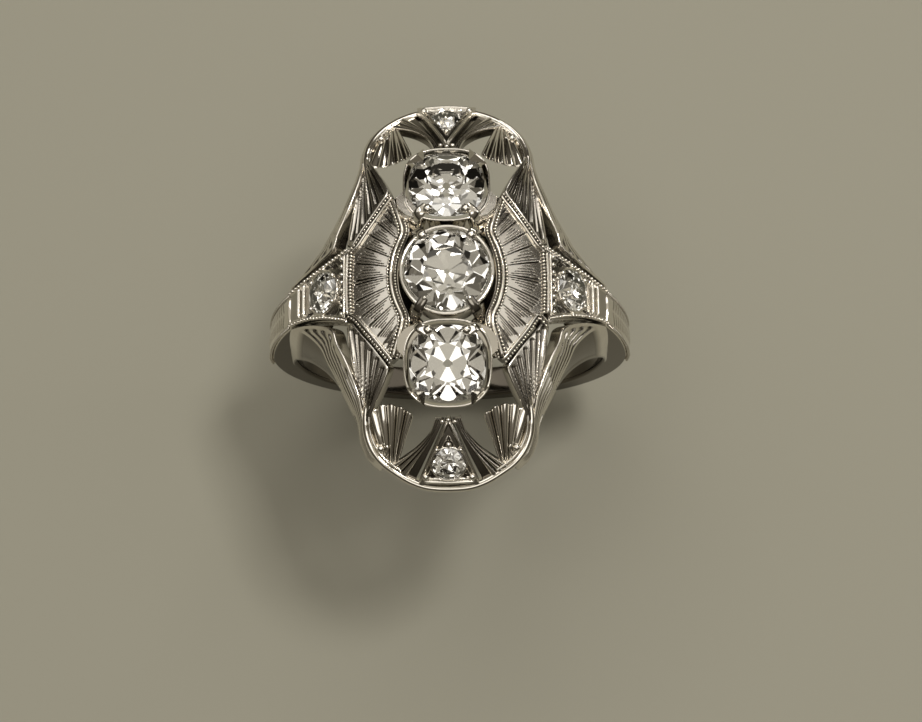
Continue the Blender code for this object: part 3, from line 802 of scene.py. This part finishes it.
def beaded_arc(side, sign):
    """A row of grains on the outside, a polished band, and finer grains on the inside."""
    ys = np.linspace(-CARTOUCHE_REACH, CARTOUCHE_REACH, 130)
    path = np.stack([arc_x(ys), ys], 1)
    skirt = [(-0.02, 0.03), (0.1, -0.02), (0.17, -0.25), (0.2, -1.3), (0.12, -1.3), (-0.04, -0.3)]
    parts = [wire(path, strip(0.29, 0.2, -0.02, 0.02, 0.5), cut=0.95),
             wire(np.stack([arc_x(ys) - 0.2, ys], 1), skirt, -0.02),
             ridge(offset(path, -0.03), 0.1, 0.12, 0.04, steps=10),
             milgrain(offset(path, -0.22), lift=0.07),
             milgrain(offset(path, 0.19), 0.16, 0.072, 0.06)]
    piece("beaded_arc_rows_" + side, parts, GRAINED, ["beaded_arc_" + side], (sign, 1))


def beaded_bar(path, profile, line_at, wide, tall, grains_at):
    """A darkened strip with a polished line outside and a row of grains inside."""
    return [wire(path, profile, cut=0.85), ridge(offset(path, -line_at), wide, tall, 0.05),
            milgrain(offset(path, grains_at), radius=0.08, lift=0.09)]


def cartouche_border(corner, signs):
    """The slanting beaded edge, turned down at the notch; the south-east one hooks back."""
    hooked = corner == "se"
    turn = ([(4.62, 2.02), (4.78, 1.98), (4.93, 2.1), (5.12, 2.3)] if hooked
            else [(4.6, 2.18), (4.76, 1.98), (4.9, 1.86), (5.06, 1.74)])
    path = smooth([BORDER_INNER_END, (3.5, 3.69), (4.1, 2.87)] + turn, 70)
    parts = beaded_bar(path, strip(0.18, 0.08, 0.0, 0.04, 0.62), 0.1, 0.075, 0.12, 0.08)
    piece("cartouche_edge_" + corner, parts, GRAINED, ["cartouche_border_" + corner], signs)


def shoulder_border(side, sign):
    """The beaded bar between a shoulder plate and the cartouche, a little bowed."""
    path = np.stack([SHOULDER_BORDER_X + 0.06 * np.cos(np.linspace(-1.5, 1.5, 50)) - 0.06,
                     np.linspace(-1.68, 1.68, 50)], 1)
    parts = beaded_bar(path, strip(0.16, 0.08, 0.02, 0.05, 0.6), 0.09, 0.09, 0.14, 0.1)
    piece("shoulder_edge_" + side, parts, GRAINED, ["shoulder_border_" + side], (sign, 1))


# ---------------------------------------------------------------- shoulders and shank

def shoulder_half_width(x):
    """Half the width of a shoulder plate at a distance from the head's middle."""
    t = (SHOULDER_END_X - x) / (SHOULDER_END_X - SHOULDER_START_X)
    return SHOULDER_END_HALF_WIDTH + np.maximum(0.0, t) ** 1.5


def around(x, y, radius, degrees, lift):
    """Points round a stone that is set flush in the dome."""
    m = np.array(Vector((0, 0, 1)).rotation_difference(Vector(dome_normal(x, y))).to_matrix())
    a = np.radians(np.asarray(degrees, float))
    ring = np.stack([radius * np.cos(a), radius * np.sin(a), np.full(len(a), lift)], 1)
    return ring @ m.T + on_dome([(x, y)])[0]


def closed_ring(x, y, radius, thick, lift):
    """A round polished bezel on the dome."""
    ring = around(x, y, radius, np.linspace(0.0, 360.0, RING_STEPS, endpoint=False), lift)
    up = np.repeat([dome_normal(x, y)], RING_STEPS, 0)
    return sweep(ring, up, half_round(thick, thick, 0.35), closed=True)


SHOULDER_SEAT, END_SEAT = 1.12, 0.86


def shoulder_plate(side, sign):
    """The tapering plate: upright bars either side of its stone and grains along both edges."""
    xs = np.linspace(5.3, 8.62, 110)
    half = shoulder_half_width(xs)
    x, y = ruled(xs, -half, half, 70)
    grid = np.stack([x, y, crown(x, y)], -1)
    tip = 1.0 / float(dome_normal(SHOULDER_STONE_X, 0.0)[2])
    r = np.hypot((x - SHOULDER_STONE_X) * tip, y)
    seat = np.clip((SHOULDER_STONE_RADIUS + 0.05 - r) * 1.05 + 0.06, 0.0, SHOULDER_SEAT)
    seat *= r < SHOULDER_STONE_RADIUS + 0.05
    field = 0.07 * rise(half[:, None] - np.abs(y), 0.22, 0.1)
    corner = engrave(x, np.abs(y), [((cx - 0.14 + 0.12 * k, cy - 0.1), (cx + 0.02 + 0.12 * k, cy + 0.12),
                                     0.05, 0.09, 0.06)
                                    for cx, cy in ((5.95, 1.25), (7.35, 0.92)) for k in range(3)])
    depth = seat + field + corner
    cut = np.clip(field / 0.07 * 0.45 + corner / 0.06, 0.0, 0.9) * (seat == 0)
    parts = [plate(grid, -depth, cut, SHOULDER_SEAT + 0.1, 0.06)]
    for bx, wide, tall in ((5.36, 0.08, 0.15), (7.66, 0.1, 0.17), (7.96, 0.1, 0.17)):
        reach = float(shoulder_half_width(bx)) - 0.24
        parts.append(ridge(np.stack([np.full(24, bx), np.linspace(-reach, reach, 24)], 1), wide, tall, 0.0))
    reach = float(shoulder_half_width(5.8)) - 0.3
    parts.append(beads(on_dome([(5.57, y) for y in np.linspace(-reach, reach, 8)], -0.02), 0.15, PEARL))
    for edge in (-1, 1):
        line = np.stack([xs[2:-1], edge * (shoulder_half_width(xs[2:-1]) - 0.1)], 1)
        parts.append(milgrain(line, 0.19, 0.092, 0.03))
    parts += [closed_ring(SHOULDER_STONE_X, 0.0, 1.17, 0.07, -0.03),
              beads(around(SHOULDER_STONE_X, 0.0, 1.16, (38, 142, 218, 322), 0.1), 0.15, PEARL),
              beads(around(SHOULDER_STONE_X, 0.0, 1.3, (90, 270, 164, 196), 0.0), 0.1)]
    piece("shoulder_top_" + side, parts, ENGRAVED, ["shoulder_plate_" + side], (sign, 1))


SIDE_WALL_RADIUS, GADROONS, GADROON_PITCH = 9.6, 6, 0.44


def shoulder_gallery(corner, signs):
    """The side wall under a shoulder plate, with a row of slanting gadroons in a sunk panel."""
    angles = np.radians(np.linspace(27.5, SHANK_START_ANGLE + 1.5, 120))
    t = share(46, 0.012)
    outer = np.array([dome_radius(a, 0.6) for a in angles])
    inner = np.full(len(angles), HOLE_RADIUS + FINGER_CLEARANCE + 0.02)
    r = outer[:, None] * (1 - t) + inner[:, None] * t
    wide = shoulder_half_width(outer * np.sin(angles)) - 0.06
    lean_in = 0.25 * t[None, :] ** 1.5
    y = np.repeat(wide[:, None], len(t), 1) - lean_in
    grid = np.stack([r * np.sin(angles)[:, None], y, r * np.cos(angles)[:, None]], -1)
    arc = (angles[:, None] - angles[0]) * SIDE_WALL_RADIUS + 0 * r
    depth_in = outer[:, None] - r
    panel_low = np.interp(arc, [0.3, 3.2], [1.05, 0.42])
    panel = between(depth_in, 0.13, panel_low, 0.05) * between(arc, 0.25, 3.0, 0.1)
    starts = GADROON_PITCH * np.arange(GADROONS)
    tall = np.interp(0.4 + starts, [0.3, 3.2], [0.75, 0.25])
    lobes = engrave(arc, depth_in, [((0.42 + a, 0.2 + high), (0.7 + a, 0.24), 0.2, 0.24, 0.13, 0.5)
                                    for a, high in zip(starts, tall)])
    relief = -0.14 * panel + lobes * panel
    cut = np.clip(panel * (1.0 - lobes / 0.07), 0.0, 0.9)
    body = slab(grid, relief - soft_edge(grid, 0.05), 0.4, cut, (0, 1, 0), bore=False)
    piece("shoulder_side_" + corner, [body], ENGRAVED, ["shoulder_gallery_" + corner], signs)


def shank_outer(angle):
    """Outer radius of the shank at an angle from +Z, in radians: the dome, then a thinning back."""
    turn = math.radians(90.0)
    if angle <= turn:
        fade = min(1.0, max(0.0, (math.degrees(angle) - 54.6) / 0.8))
        return dome_radius(angle, (PLATE_THICKNESS + GAP) * (1.0 - fade) + 0.02)
    start = dome_radius(turn)
    ease = 0.5 + 0.5 * math.cos(math.pi * (angle - turn) / (math.pi - turn))
    return SHANK_BOTTOM_RADIUS + (start - SHANK_BOTTOM_RADIUS) * ease


ENGRAVED_FROM_ANGLE, ENGRAVED_RADIUS = 58.0, 10.3
SHANK_LEAVES, LEAF_PITCH, SHANK_TICKS, TICK_PITCH = 13, 0.42, 26, 0.21
ROPE_ANGLES = np.radians(np.arange(56.0, 96.0, 1.05))


def shank():
    """The band: smooth inside, with leaf cuts and grains on its outside near the shoulders."""
    turns = np.radians(np.linspace(SHANK_START_ANGLE, 360.0 - SHANK_START_ANGLE, SHANK_STEPS + 1))
    folded = np.where(turns <= math.pi, turns, 2.0 * math.pi - turns)
    outer = np.array([shank_outer(a) for a in folded])
    ease = 0.5 + 0.5 * np.cos(folded)
    half = (SHANK_HALF_WIDTH_BOTTOM
            + (SHANK_HALF_WIDTH_SHOULDER - SHANK_HALF_WIDTH_BOTTOM) * np.maximum(0, ease) ** 0.6)
    across = np.linspace(-1.0, 1.0, 41)
    side_share = np.linspace(0.0, 1.0, 15)
    top_r = outer[:, None] - 0.06 - 0.24 * rise(np.abs(across), 0.62, 0.38)[None] ** 2
    top_r = top_r + 0.06 * (1 - rise(np.abs(across), 0.0, 0.62) ** 2)[None]
    y_top = across[None] * half[:, None]
    arc = (folded[:, None] - math.radians(ENGRAVED_FROM_ANGLE)) * ENGRAVED_RADIUS + 0 * y_top
    leaves = [(0.15 + LEAF_PITCH * k, 1.0 - 0.035 * k) for k in range(SHANK_LEAVES)]
    cuts = [((a, 0.1), (a + 0.36 * size, 0.62 * size), 0.1, 0.2 * size, 0.06) for a, size in leaves]
    ticks = [0.05 + TICK_PITCH * k for k in range(SHANK_TICKS)]
    cuts += [((a, 0.76), (a + 0.09, 0.86), 0.08, 0.1, 0.04) for a in ticks]
    depth = engrave(arc, np.abs(y_top), cuts)
    top_r = top_r - depth
    cut_top = rise(depth, 0.0, 0.05) * 0.8
    # Section: up the south side, over the top, down the north side, and round inside.
    edge = 0.16
    lo = HOLE_RADIUS + edge
    hi = top_r[:, 0]
    r_side = lo + (hi[:, None] - lo) * side_share[None]
    y_side = half[:, None] + 0 * r_side
    bend = np.linspace(0.0, math.pi / 2, 5)[1:]
    soft_y = half[:, None] - edge * (1 - np.cos(bend))[None]
    soft_r = 0 * soft_y + HOLE_RADIUS + edge * (1 - np.sin(bend))[None]
    # The sides and inside are darkened: patina with painted shade.
    dark_side, dark_bend = 0 * r_side + SIDE_PATINA_AND_PAINTED_SHADE, 0 * soft_y + SIDE_PATINA_AND_PAINTED_SHADE
    columns = [(r_side, -y_side, dark_side), (top_r[:, 1:-1], y_top[:, 1:-1], cut_top[:, 1:-1]),
               (r_side[:, ::-1], y_side[:, ::-1], dark_side), (soft_r, soft_y, dark_bend),
               (soft_r[:, ::-1], -soft_y[:, ::-1], dark_bend)]
    r, y, cut = (np.concatenate([column[i] for column in columns], 1) for i in range(3))
    points = np.stack([r * np.sin(turns)[:, None], y, r * np.cos(turns)[:, None]], -1)
    parts = [tube(points, cut)]
    ring = np.array([shank_outer(a) for a in ROPE_ANGLES]) - 0.1
    wide = np.interp(ROPE_ANGLES, folded[:SHANK_STEPS // 2], half[:SHANK_STEPS // 2]) - 0.07
    for sx in (-1, 1):
        for sy in (-1, 1):
            grains = np.stack([sx * ring * np.sin(ROPE_ANGLES), sy * wide, ring * np.cos(ROPE_ANGLES)], 1)
            parts.append(beads(grains, 0.085))
    piece("shank_band", parts, POLISHED, ["shank"])


# ---------------------------------------------------------------- lobes at the ends of the head

TRIANGLE_APEX_Y, TRIANGLE_BASE_Y, TRIANGLE_HALF_BASE = 7.45, 10.42, 1.56
# How far a triangle stands above the dome, and how far the rim beside it dips below.
TRIANGLE_PROUD = {"n": 0.2, "s": 0.04}
RIM_DROP = {"n": 0.3, "s": 0.14}


def triangle_plate(side, sign):
    """The triangle: two nested bright frames, a polished foot, grains, and the seat of a flush stone."""
    proud = TRIANGLE_PROUD[side]
    ys = np.linspace(TRIANGLE_APEX_Y, TRIANGLE_BASE_Y, 110)
    slope = (TRIANGLE_HALF_BASE - 0.08) / (TRIANGLE_BASE_Y - 0.2 - TRIANGLE_APEX_Y)
    half = np.minimum(0.1 + slope * (ys - TRIANGLE_APEX_Y), TRIANGLE_HALF_BASE)
    y, x = ruled(ys, -half, half, 60)
    grid = np.stack([x, y, crown(x, y)], -1)
    lean_edge = math.cos(math.atan(slope))
    from_edge = (half[:, None] - np.abs(x)) * lean_edge
    well = 0.1 * rise(from_edge, 0.16, 0.06) * rise(-y, -10.14, 0.08)
    inner = 0.1 * rise(from_edge, 0.46, 0.06) * rise(-y, -10.12, 0.08)
    tip = 1.0 / float(dome_normal(0.0, END_STONE_Y)[2])
    r = np.hypot(x, (y - END_STONE_Y) * tip)
    seat = np.clip((END_STONE_RADIUS + 0.04 - r) * 1.05 + 0.05, 0.0, END_SEAT)
    seat *= r < END_STONE_RADIUS + 0.04
    bars = engrave(np.abs(x), y, [((0.74 + 0.1 * k, 9.95), (0.86 + 0.1 * k, 10.12), 0.03, 0.07, 0.05)
                                  for k in range(5)])
    depth = well + inner + bars + seat
    dark = np.clip(well * 7 + inner * 2 + bars * 6, 0, 0.85) * (seat == 0)
    parts = [plate(grid, proud - depth, dark, END_SEAT + 0.1, 0.06)]
    for sx in (-1, 1):
        line = np.array([(sx * 0.03, 7.55), (sx * (TRIANGLE_HALF_BASE - 0.02), 10.3)])
        parts.append(ridge(even(line, 30), 0.065, 0.12, proud - 0.02))
        line = np.array([(sx * 0.03, 8.22), (sx * 1.22, 10.12)])
        parts.append(ridge(even(line, 24), 0.045, 0.09, proud - 0.1))
    across = np.linspace(-1.3, 1.3, 40)
    foot = np.stack([across, TRIANGLE_BASE_Y - 0.12 - 0.08 * (across / 1.3) ** 2], 1)
    parts += [ridge(foot, 0.1, 0.12, proud - 0.02),
              beads(on_dome([(0.0, 8.62)]), 0.16, PEARL),
              beads(on_dome([(-1.2, 10.04), (1.2, 10.04)], proud), 0.19, PEARL),
              beads(on_dome([(-0.62, 8.86), (0.62, 8.86)]), 0.11, PEARL),
              closed_ring(0.0, END_STONE_Y, END_STONE_RADIUS + 0.04, 0.05, -0.04),
              beads(on_dome([(0.0, TRIANGLE_APEX_Y + 0.02), (-0.32, 7.55), (0.32, 7.55)], 0.02), 0.13, PEARL)]
    piece("triangle_frame_" + side, parts, ENGRAVED, ["triangle_plate_" + side], (1, sign))


FAN_LEAF_INNER = [(4.98, 2.1), (4.5, 2.8), (3.95, 3.5), (3.45, 4.2), (3.08, 4.8), (3.26, 5.4),
                  (3.6, 6.1), (3.95, 6.75), (4.22, 7.3)]
FAN_LEAF_OUTER = [(5.24, 2.2), (5.18, 3.0), (5.05, 3.9), (4.92, 4.5), (4.8, 5.0), (4.68, 5.5),
                  (4.56, 6.1), (4.52, 6.7), (4.52, 7.2)]
LEAF_FOCUS = np.array([4.44, 7.4])
LEAF_HEADS = np.array([(3.4, 4.8), (3.68, 4.3), (4.02, 3.8), (4.38, 3.26), (4.72, 2.8), (4.98, 2.5)])


def fan_leaf(corner, signs):
    """The fluted leaf from the notch to the lobe: long drop-shaped flutes that meet at the lobe."""
    grid = plate_grid(FAN_LEAF_INNER, FAN_LEAF_OUTER, 190, 60, roll=0.5)
    x, y = grid[..., 0], grid[..., 1]
    deep = 0.13
    depth = engrave(x, y, [(LEAF_FOCUS + (head - LEAF_FOCUS) * 0.16, head, 0.03, 0.27, deep, 1.0)
                           for head in LEAF_HEADS])
    rim = hump(near(x, y, smooth(FAN_LEAF_OUTER, 40)), 0.13) * 0.05
    dark = 0.34 + 0.55 * rise(depth, 0.0, deep) ** 1.5
    piece("fluted_leaf_" + corner, [plate(grid, rim - depth, dark, 0.7)], ENGRAVED, ["fan_leaf_" + corner], signs)


FLANK_INNER = [(8.5, 1.15), (7.7, 1.38), (6.9, 1.7), (6.1, 2.2), (5.82, 3.0), (5.42, 3.85),
               (5.0, 4.9), (4.66, 5.9), (4.48, 6.9), (4.42, 7.8), (4.05, 8.75), (3.45, 9.4)]
FLANK_OUTER = [(8.8, 1.45), (8.2, 2.05), (7.5, 2.65), (6.85, 3.3), (6.32, 3.95), (5.85, 4.7),
               (5.44, 5.55), (5.06, 6.4), (4.8, 7.15), (4.66, 7.95), (4.24, 8.85), (3.6, 9.5)]


FLANK_RIBS, RIB_HEIGHT = 6, 0.13


def flank_fan(corner, signs):
    """The steep flank: bright ribs that fan out from the lobe over the wall to the shoulder's edge."""
    grid = plate_grid(FLANK_INNER, FLANK_OUTER, 240, 54, wall=True)
    steps = np.linalg.norm(np.diff(grid, axis=1), axis=-1)
    t = np.concatenate([np.zeros((len(grid), 1)), np.cumsum(steps, 1)], 1)
    t /= t[:, -1:]
    v = np.repeat(np.linspace(0, 1, len(grid))[:, None], t.shape[1], 1)
    ribs = np.zeros(t.shape)
    field = rise(t, 0.05, 0.04) * rise(-t, -0.97, 0.03) * rise(v, 0.06, 0.04) * rise(-v, -0.96, 0.05)
    for k in range(FLANK_RIBS):
        start, low = 0.05 + 0.05 * k, 0.86 - 0.145 * k
        line_t = np.interp(v, [0.0, start, 0.5, 1.0], [0.05, 0.05, low, low + 0.03])
        width = np.interp(v, [0.0, 0.3, 0.6, 1.0], [0.045, 0.05, 0.06, 0.07])
        ribs = np.maximum(ribs, hump(np.abs(t - line_t), width) * rise(v, start, 0.05))
    depth = RIB_HEIGHT * field * (1.0 - ribs)
    # The sunk field between the ribs and the foot of the wall are painted dark: painted shade.
    cut = np.maximum(np.clip(field * (1.0 - ribs * 1.2), 0.0, 1.0), rise(t, 0.9, 0.06)) * 0.85
    piece("ribbed_flank_" + corner, [plate(grid, -depth, cut, 0.8, 0.08)], ENGRAVED, ["flank_fan_" + corner], signs)


LOBE_RIM = [(4.36, 6.5), (4.4, 7.1), (4.32, 7.9), (4.02, 8.65), (3.5, 9.3), (2.8, 9.82),
            (2.1, 10.22), (1.4, 10.48), (0.7, 10.6), (0.0, 10.63)]


def lobe_rim(corner, signs):
    """The rounded rim of a lobe: a broad polished band with a thin line inside it."""
    path = smooth(LOBE_RIM, 110)
    run = np.linspace(0.0, 1.0, len(path))
    taper = np.interp(run, [0, 0.12, 0.55, 0.8, 1.0], [0.5, 1.0, 1.0, 0.95, 0.95])
    low = RIM_DROP["n" if signs[1] > 0 else "s"]
    drop = np.interp(run, [0.0, 0.6, 0.85, 1.0], [0.2, 0.2, low, low])
    parts = [wire(path, half_round(0.22, 0.24, 0.3, 12), -drop, taper),
             wire(offset(path[:66], 0.25), half_round(0.06, 0.07, 0.25), -0.07, taper[:66])]
    piece("lobe_band_" + corner, parts, POLISHED, ["lobe_rim_" + corner], signs)


def scroll(corner, signs):
    """The scroll that curls in from the rim and ends in a small ball."""
    path = smooth([(4.02, 8.35), (3.95, 8.85), (3.6, 9.1), (3.28, 8.95), (3.2, 8.62), (3.4, 8.42)], 50)
    taper = np.interp(np.linspace(0, 1, 50), [0, 0.2, 1.0], [0.7, 1.0, 0.6])
    parts = [wire(path, half_round(0.09, 0.09, 0.3), -0.12, taper),
             beads(on_dome([(3.56, 8.62)], -0.1), 0.21, PEARL)]
    piece("scroll_" + corner, parts, POLISHED, ["scroll_ball_" + corner], signs)


def lobe_web(corner, signs):
    """The sunk web beside the triangle, crossed by three raised ribs that meet at the lobe's foot."""
    inner = [(0.2, 7.42), (0.74, 8.45), (1.26, 9.35), (1.8, 10.25)]
    outer = [(0.7, 7.38), (0.98, 8.08), (1.6, 8.68), (2.35, 9.12), (3.3, 9.55)]
    grid = plate_grid(inner, outer, 120, 70, top=-0.04)
    t = np.repeat(share(70)[None], len(grid), 0)
    v = np.linspace(0.0, 1.0, len(grid))[:, None]
    raised = np.zeros(t.shape)
    for low, high in ((0.3, 0.52), (0.55, 0.76), (0.79, 1.0)):
        shift = 0.1 * (1.0 - v)
        middle, half = 0.5 * (low + high) + shift * (1 - high), 0.5 * (high - low)
        raised = np.maximum(raised, hump(np.abs(t - middle), half * (0.75 + 0.35 * v)))
    depth = 0.2 * (1.0 - raised)
    # The sunk web between the ribs is painted dark: painted shade.
    parts = [plate(grid, -depth, np.clip(1.0 - raised * 1.6, 0, 1) * 0.8, 0.6, 0.05)]
    piece("lobe_web_" + corner, parts, ENGRAVED, ["tendril_" + corner], signs)


SHELL_APEX = np.array([3.0, 10.3])
SHELL_FLUTES, SHELL_START = 5, 0.95


def lobe_shell(corner, signs):
    """A broad fluted bowl that fills a lobe and opens towards the box setting."""
    (first_x, first_y), (last_x, last_y) = (1.78, 7.32) - SHELL_APEX, (4.34, 6.95) - SHELL_APEX
    first, last = math.atan2(first_y, first_x), math.atan2(last_y, last_x)
    s = share(90, 0.008)
    angle = first + (last - first) * s
    wave = np.abs(np.sin(math.pi * SHELL_FLUTES * s))
    long = np.interp(s, [0.0, 0.25, 0.55, 0.8, 1.0], [3.14, 3.4, 3.6, 3.64, 3.5]) + 0.17 * wave ** 0.7
    rho = np.linspace(0.0, 1.0, 90)
    r = SHELL_START + (long[None, :] - SHELL_START) * rho[:, None]
    x = SHELL_APEX[0] + r * np.cos(angle)[None]
    y = SHELL_APEX[1] + r * np.sin(angle)[None]
    lift = 0.02 - 0.2 * (2 * s - 1)[None] ** 2 - 0.16 * (1 - rho[:, None]) ** 2
    grid = np.stack([x, y, crown(x, y) + lift], -1)
    wave = wave[None] * np.ones_like(x)
    amount = np.interp(rho, [0.0, 0.15, 1.0], [0.05, 0.12, 0.24])[:, None]
    relief = amount * (wave ** 0.8 - 1.0)
    cut = rise(-wave, -0.4, 0.4) * 0.75
    piece("shell_" + corner, [plate(grid, relief, cut, 0.4, 0.06)], POLISHED, ["lobe_shell_" + corner], signs)


def rails():
    """The gallery rails keep the shapes of their CAD solids, darkened like the shank's sides with patina and
    painted shade.
    """
    for corner in QUADRANTS:
        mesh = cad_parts["gallery_rail_" + corner].data
        points = np.array([v.co[:] for v in mesh.vertices]) / MM
        mesh.calc_loop_triangles()
        tris = [t.vertices[:] for t in mesh.loop_triangles]
        piece("under_rail_" + corner, [part(points, (), tris, np.full(len(points), SIDE_PATINA_AND_PAINTED_SHADE * 0.8))],
              POLISHED, ["gallery_rail_" + corner])


# ---------------------------------------------------------------- studio

LIGHT_COLOUR = (1.0, 0.97, 0.92)
CAMERA_TILT, CAMERA_ROLL, CAMERA_YAW = 16.0, 1.36, 0.85
CAMERA_DISTANCE, CAMERA_ACROSS, CAMERA_ALONG = 140.0, 0.64, -1.10
PIXELS_PER_MM, IMAGE_WIDTH, SENSOR_WIDTH = 17.7, 922.0, 36.0


def area_light(name, place, aim, size, radiance):
    """A soft box of a given brightness, whatever its size."""
    data = bpy.data.lights.new(name, "AREA")
    data.shape = "RECTANGLE"
    data.size, data.size_y = size
    data.energy = radiance * math.pi * size[0] * size[1]
    data.color = LIGHT_COLOUR
    made = placed(name, data)
    made.location = Vector(place)
    made.rotation_euler = (Vector(aim) - Vector(place)).to_track_quat("-Z", "Y").to_euler()


def around_head(azimuth, elevation, distance):
    """A place round the head: azimuth from +X towards +Y, elevation above the horizon, in degrees."""
    a, e = math.radians(azimuth), math.radians(elevation)
    return (distance * math.cos(e) * math.cos(a), distance * math.cos(e) * math.sin(a),
            0.012 + distance * math.sin(e))


FLOOR_REACH, FLOOR_COLOUR, FLOOR_ROUGHNESS = 0.6, (0.305, 0.294, 0.238, 1.0), 0.9


def studio():
    """A small key from the east-north-east, and broad soft panels to the north and the south."""
    head = (0.0, 0.0, 0.012)
    boxes = [("key", 25, 70, 0.36, (0.065, 0.065), 42.0), ("north_panel", 95, 54, 0.36, (0.34, 0.14), 1.9),
             ("south_panel", 278, 62, 0.36, (0.25, 0.11), 1.4), ("west_panel", 188, 70, 0.36, (0.09, 0.11), 2.6),
             ("west_fill", 166, 44, 0.40, (0.24, 0.22), 0.78), ("east_fill", 14, 42, 0.40, (0.24, 0.22), 0.66),
             ("low_east", 4, 16, 0.33, (0.05, 0.10), 2.6), ("low_north", 70, 22, 0.36, (0.10, 0.05), 5.0)]
    for name, azimuth, elevation, distance, size, radiance in boxes:
        area_light(name, around_head(azimuth, elevation, distance), head, size, radiance)
    world = bpy.data.worlds.new("studio")
    world.use_nodes = True
    tree = world.node_tree
    place = add_node(tree, "TexCoord")
    split = add_node(tree, "SeparateXYZ")
    ramp = add_ramp(tree, (0.05, (0.02, 0.017, 0.012)), (0.75, (0.17, 0.152, 0.12)), (0.93, (0.56, 0.52, 0.44)))
    tree.links.new(place.outputs["Generated"], split.inputs["Vector"])
    tree.links.new(split.outputs["Z"], ramp.inputs["Fac"])
    tree.links.new(ramp.outputs["Color"], tree.nodes["Background"].inputs["Color"])
    bpy.context.scene.world = world
    mesh = bpy.data.meshes.new("floor")
    corners = [(x * FLOOR_REACH, y * FLOOR_REACH, -SHANK_BOTTOM_RADIUS * MM)
               for x, y in ((-1, -1), (1, -1), (1, 1), (-1, 1))]
    mesh.from_pydata(corners, [], [(0, 1, 2, 3)])
    mesh.materials.append(paint("pale_floor", {"Base Color": FLOOR_COLOUR, "Roughness": FLOOR_ROUGHNESS}))
    floor = placed("floor", mesh)


def camera():
    """Looks down from the south, near the vertical, a little turned and rolled."""
    tilt, roll, yaw = (math.radians(a) for a in (CAMERA_TILT, CAMERA_ROLL, CAMERA_YAW))
    right = np.array([1.0, 0.0, 0.0])
    up = np.array([0.0, math.cos(tilt), math.sin(tilt)])
    back = np.array([0.0, -math.sin(tilt), math.cos(tilt)])
    rolled_right = math.cos(roll) * right - math.sin(roll) * up
    rolled_up = math.sin(roll) * right + math.cos(roll) * up
    place = CAMERA_ACROSS * rolled_right + CAMERA_ALONG * rolled_up + CAMERA_DISTANCE * back
    basis = Matrix((rolled_right, rolled_up, back)).transposed().to_4x4()
    spin = Matrix.Rotation(yaw, 4, "Z")
    data = bpy.data.cameras.new("camera")
    data.sensor_width = SENSOR_WIDTH
    data.lens = PIXELS_PER_MM * CAMERA_DISTANCE * SENSOR_WIDTH / IMAGE_WIDTH
    data.clip_start, data.clip_end = 0.01, 10.0
    made = placed("camera", data)
    made.matrix_world = spin @ Matrix.Translation(Vector(place) * MM) @ basis
    bpy.context.scene.camera = made


stones()
centre_setting()
shank()
rails()
for places, makers in ((EAST_WEST, (cartouche_plate, beaded_arc, shoulder_border, shoulder_plate)),
                       (NORTH_SOUTH, (box_setting, triangle_plate)),
                       (QUADRANTS, (cartouche_border, fan_leaf, flank_fan, lobe_rim, scroll, lobe_web,
                                    lobe_shell, shoulder_gallery))):
    for where, signs_of in places.items():
        for make in makers:
            make(where, signs_of)
studio()
camera()
bpy.context.scene.view_settings.view_transform = "Standard"
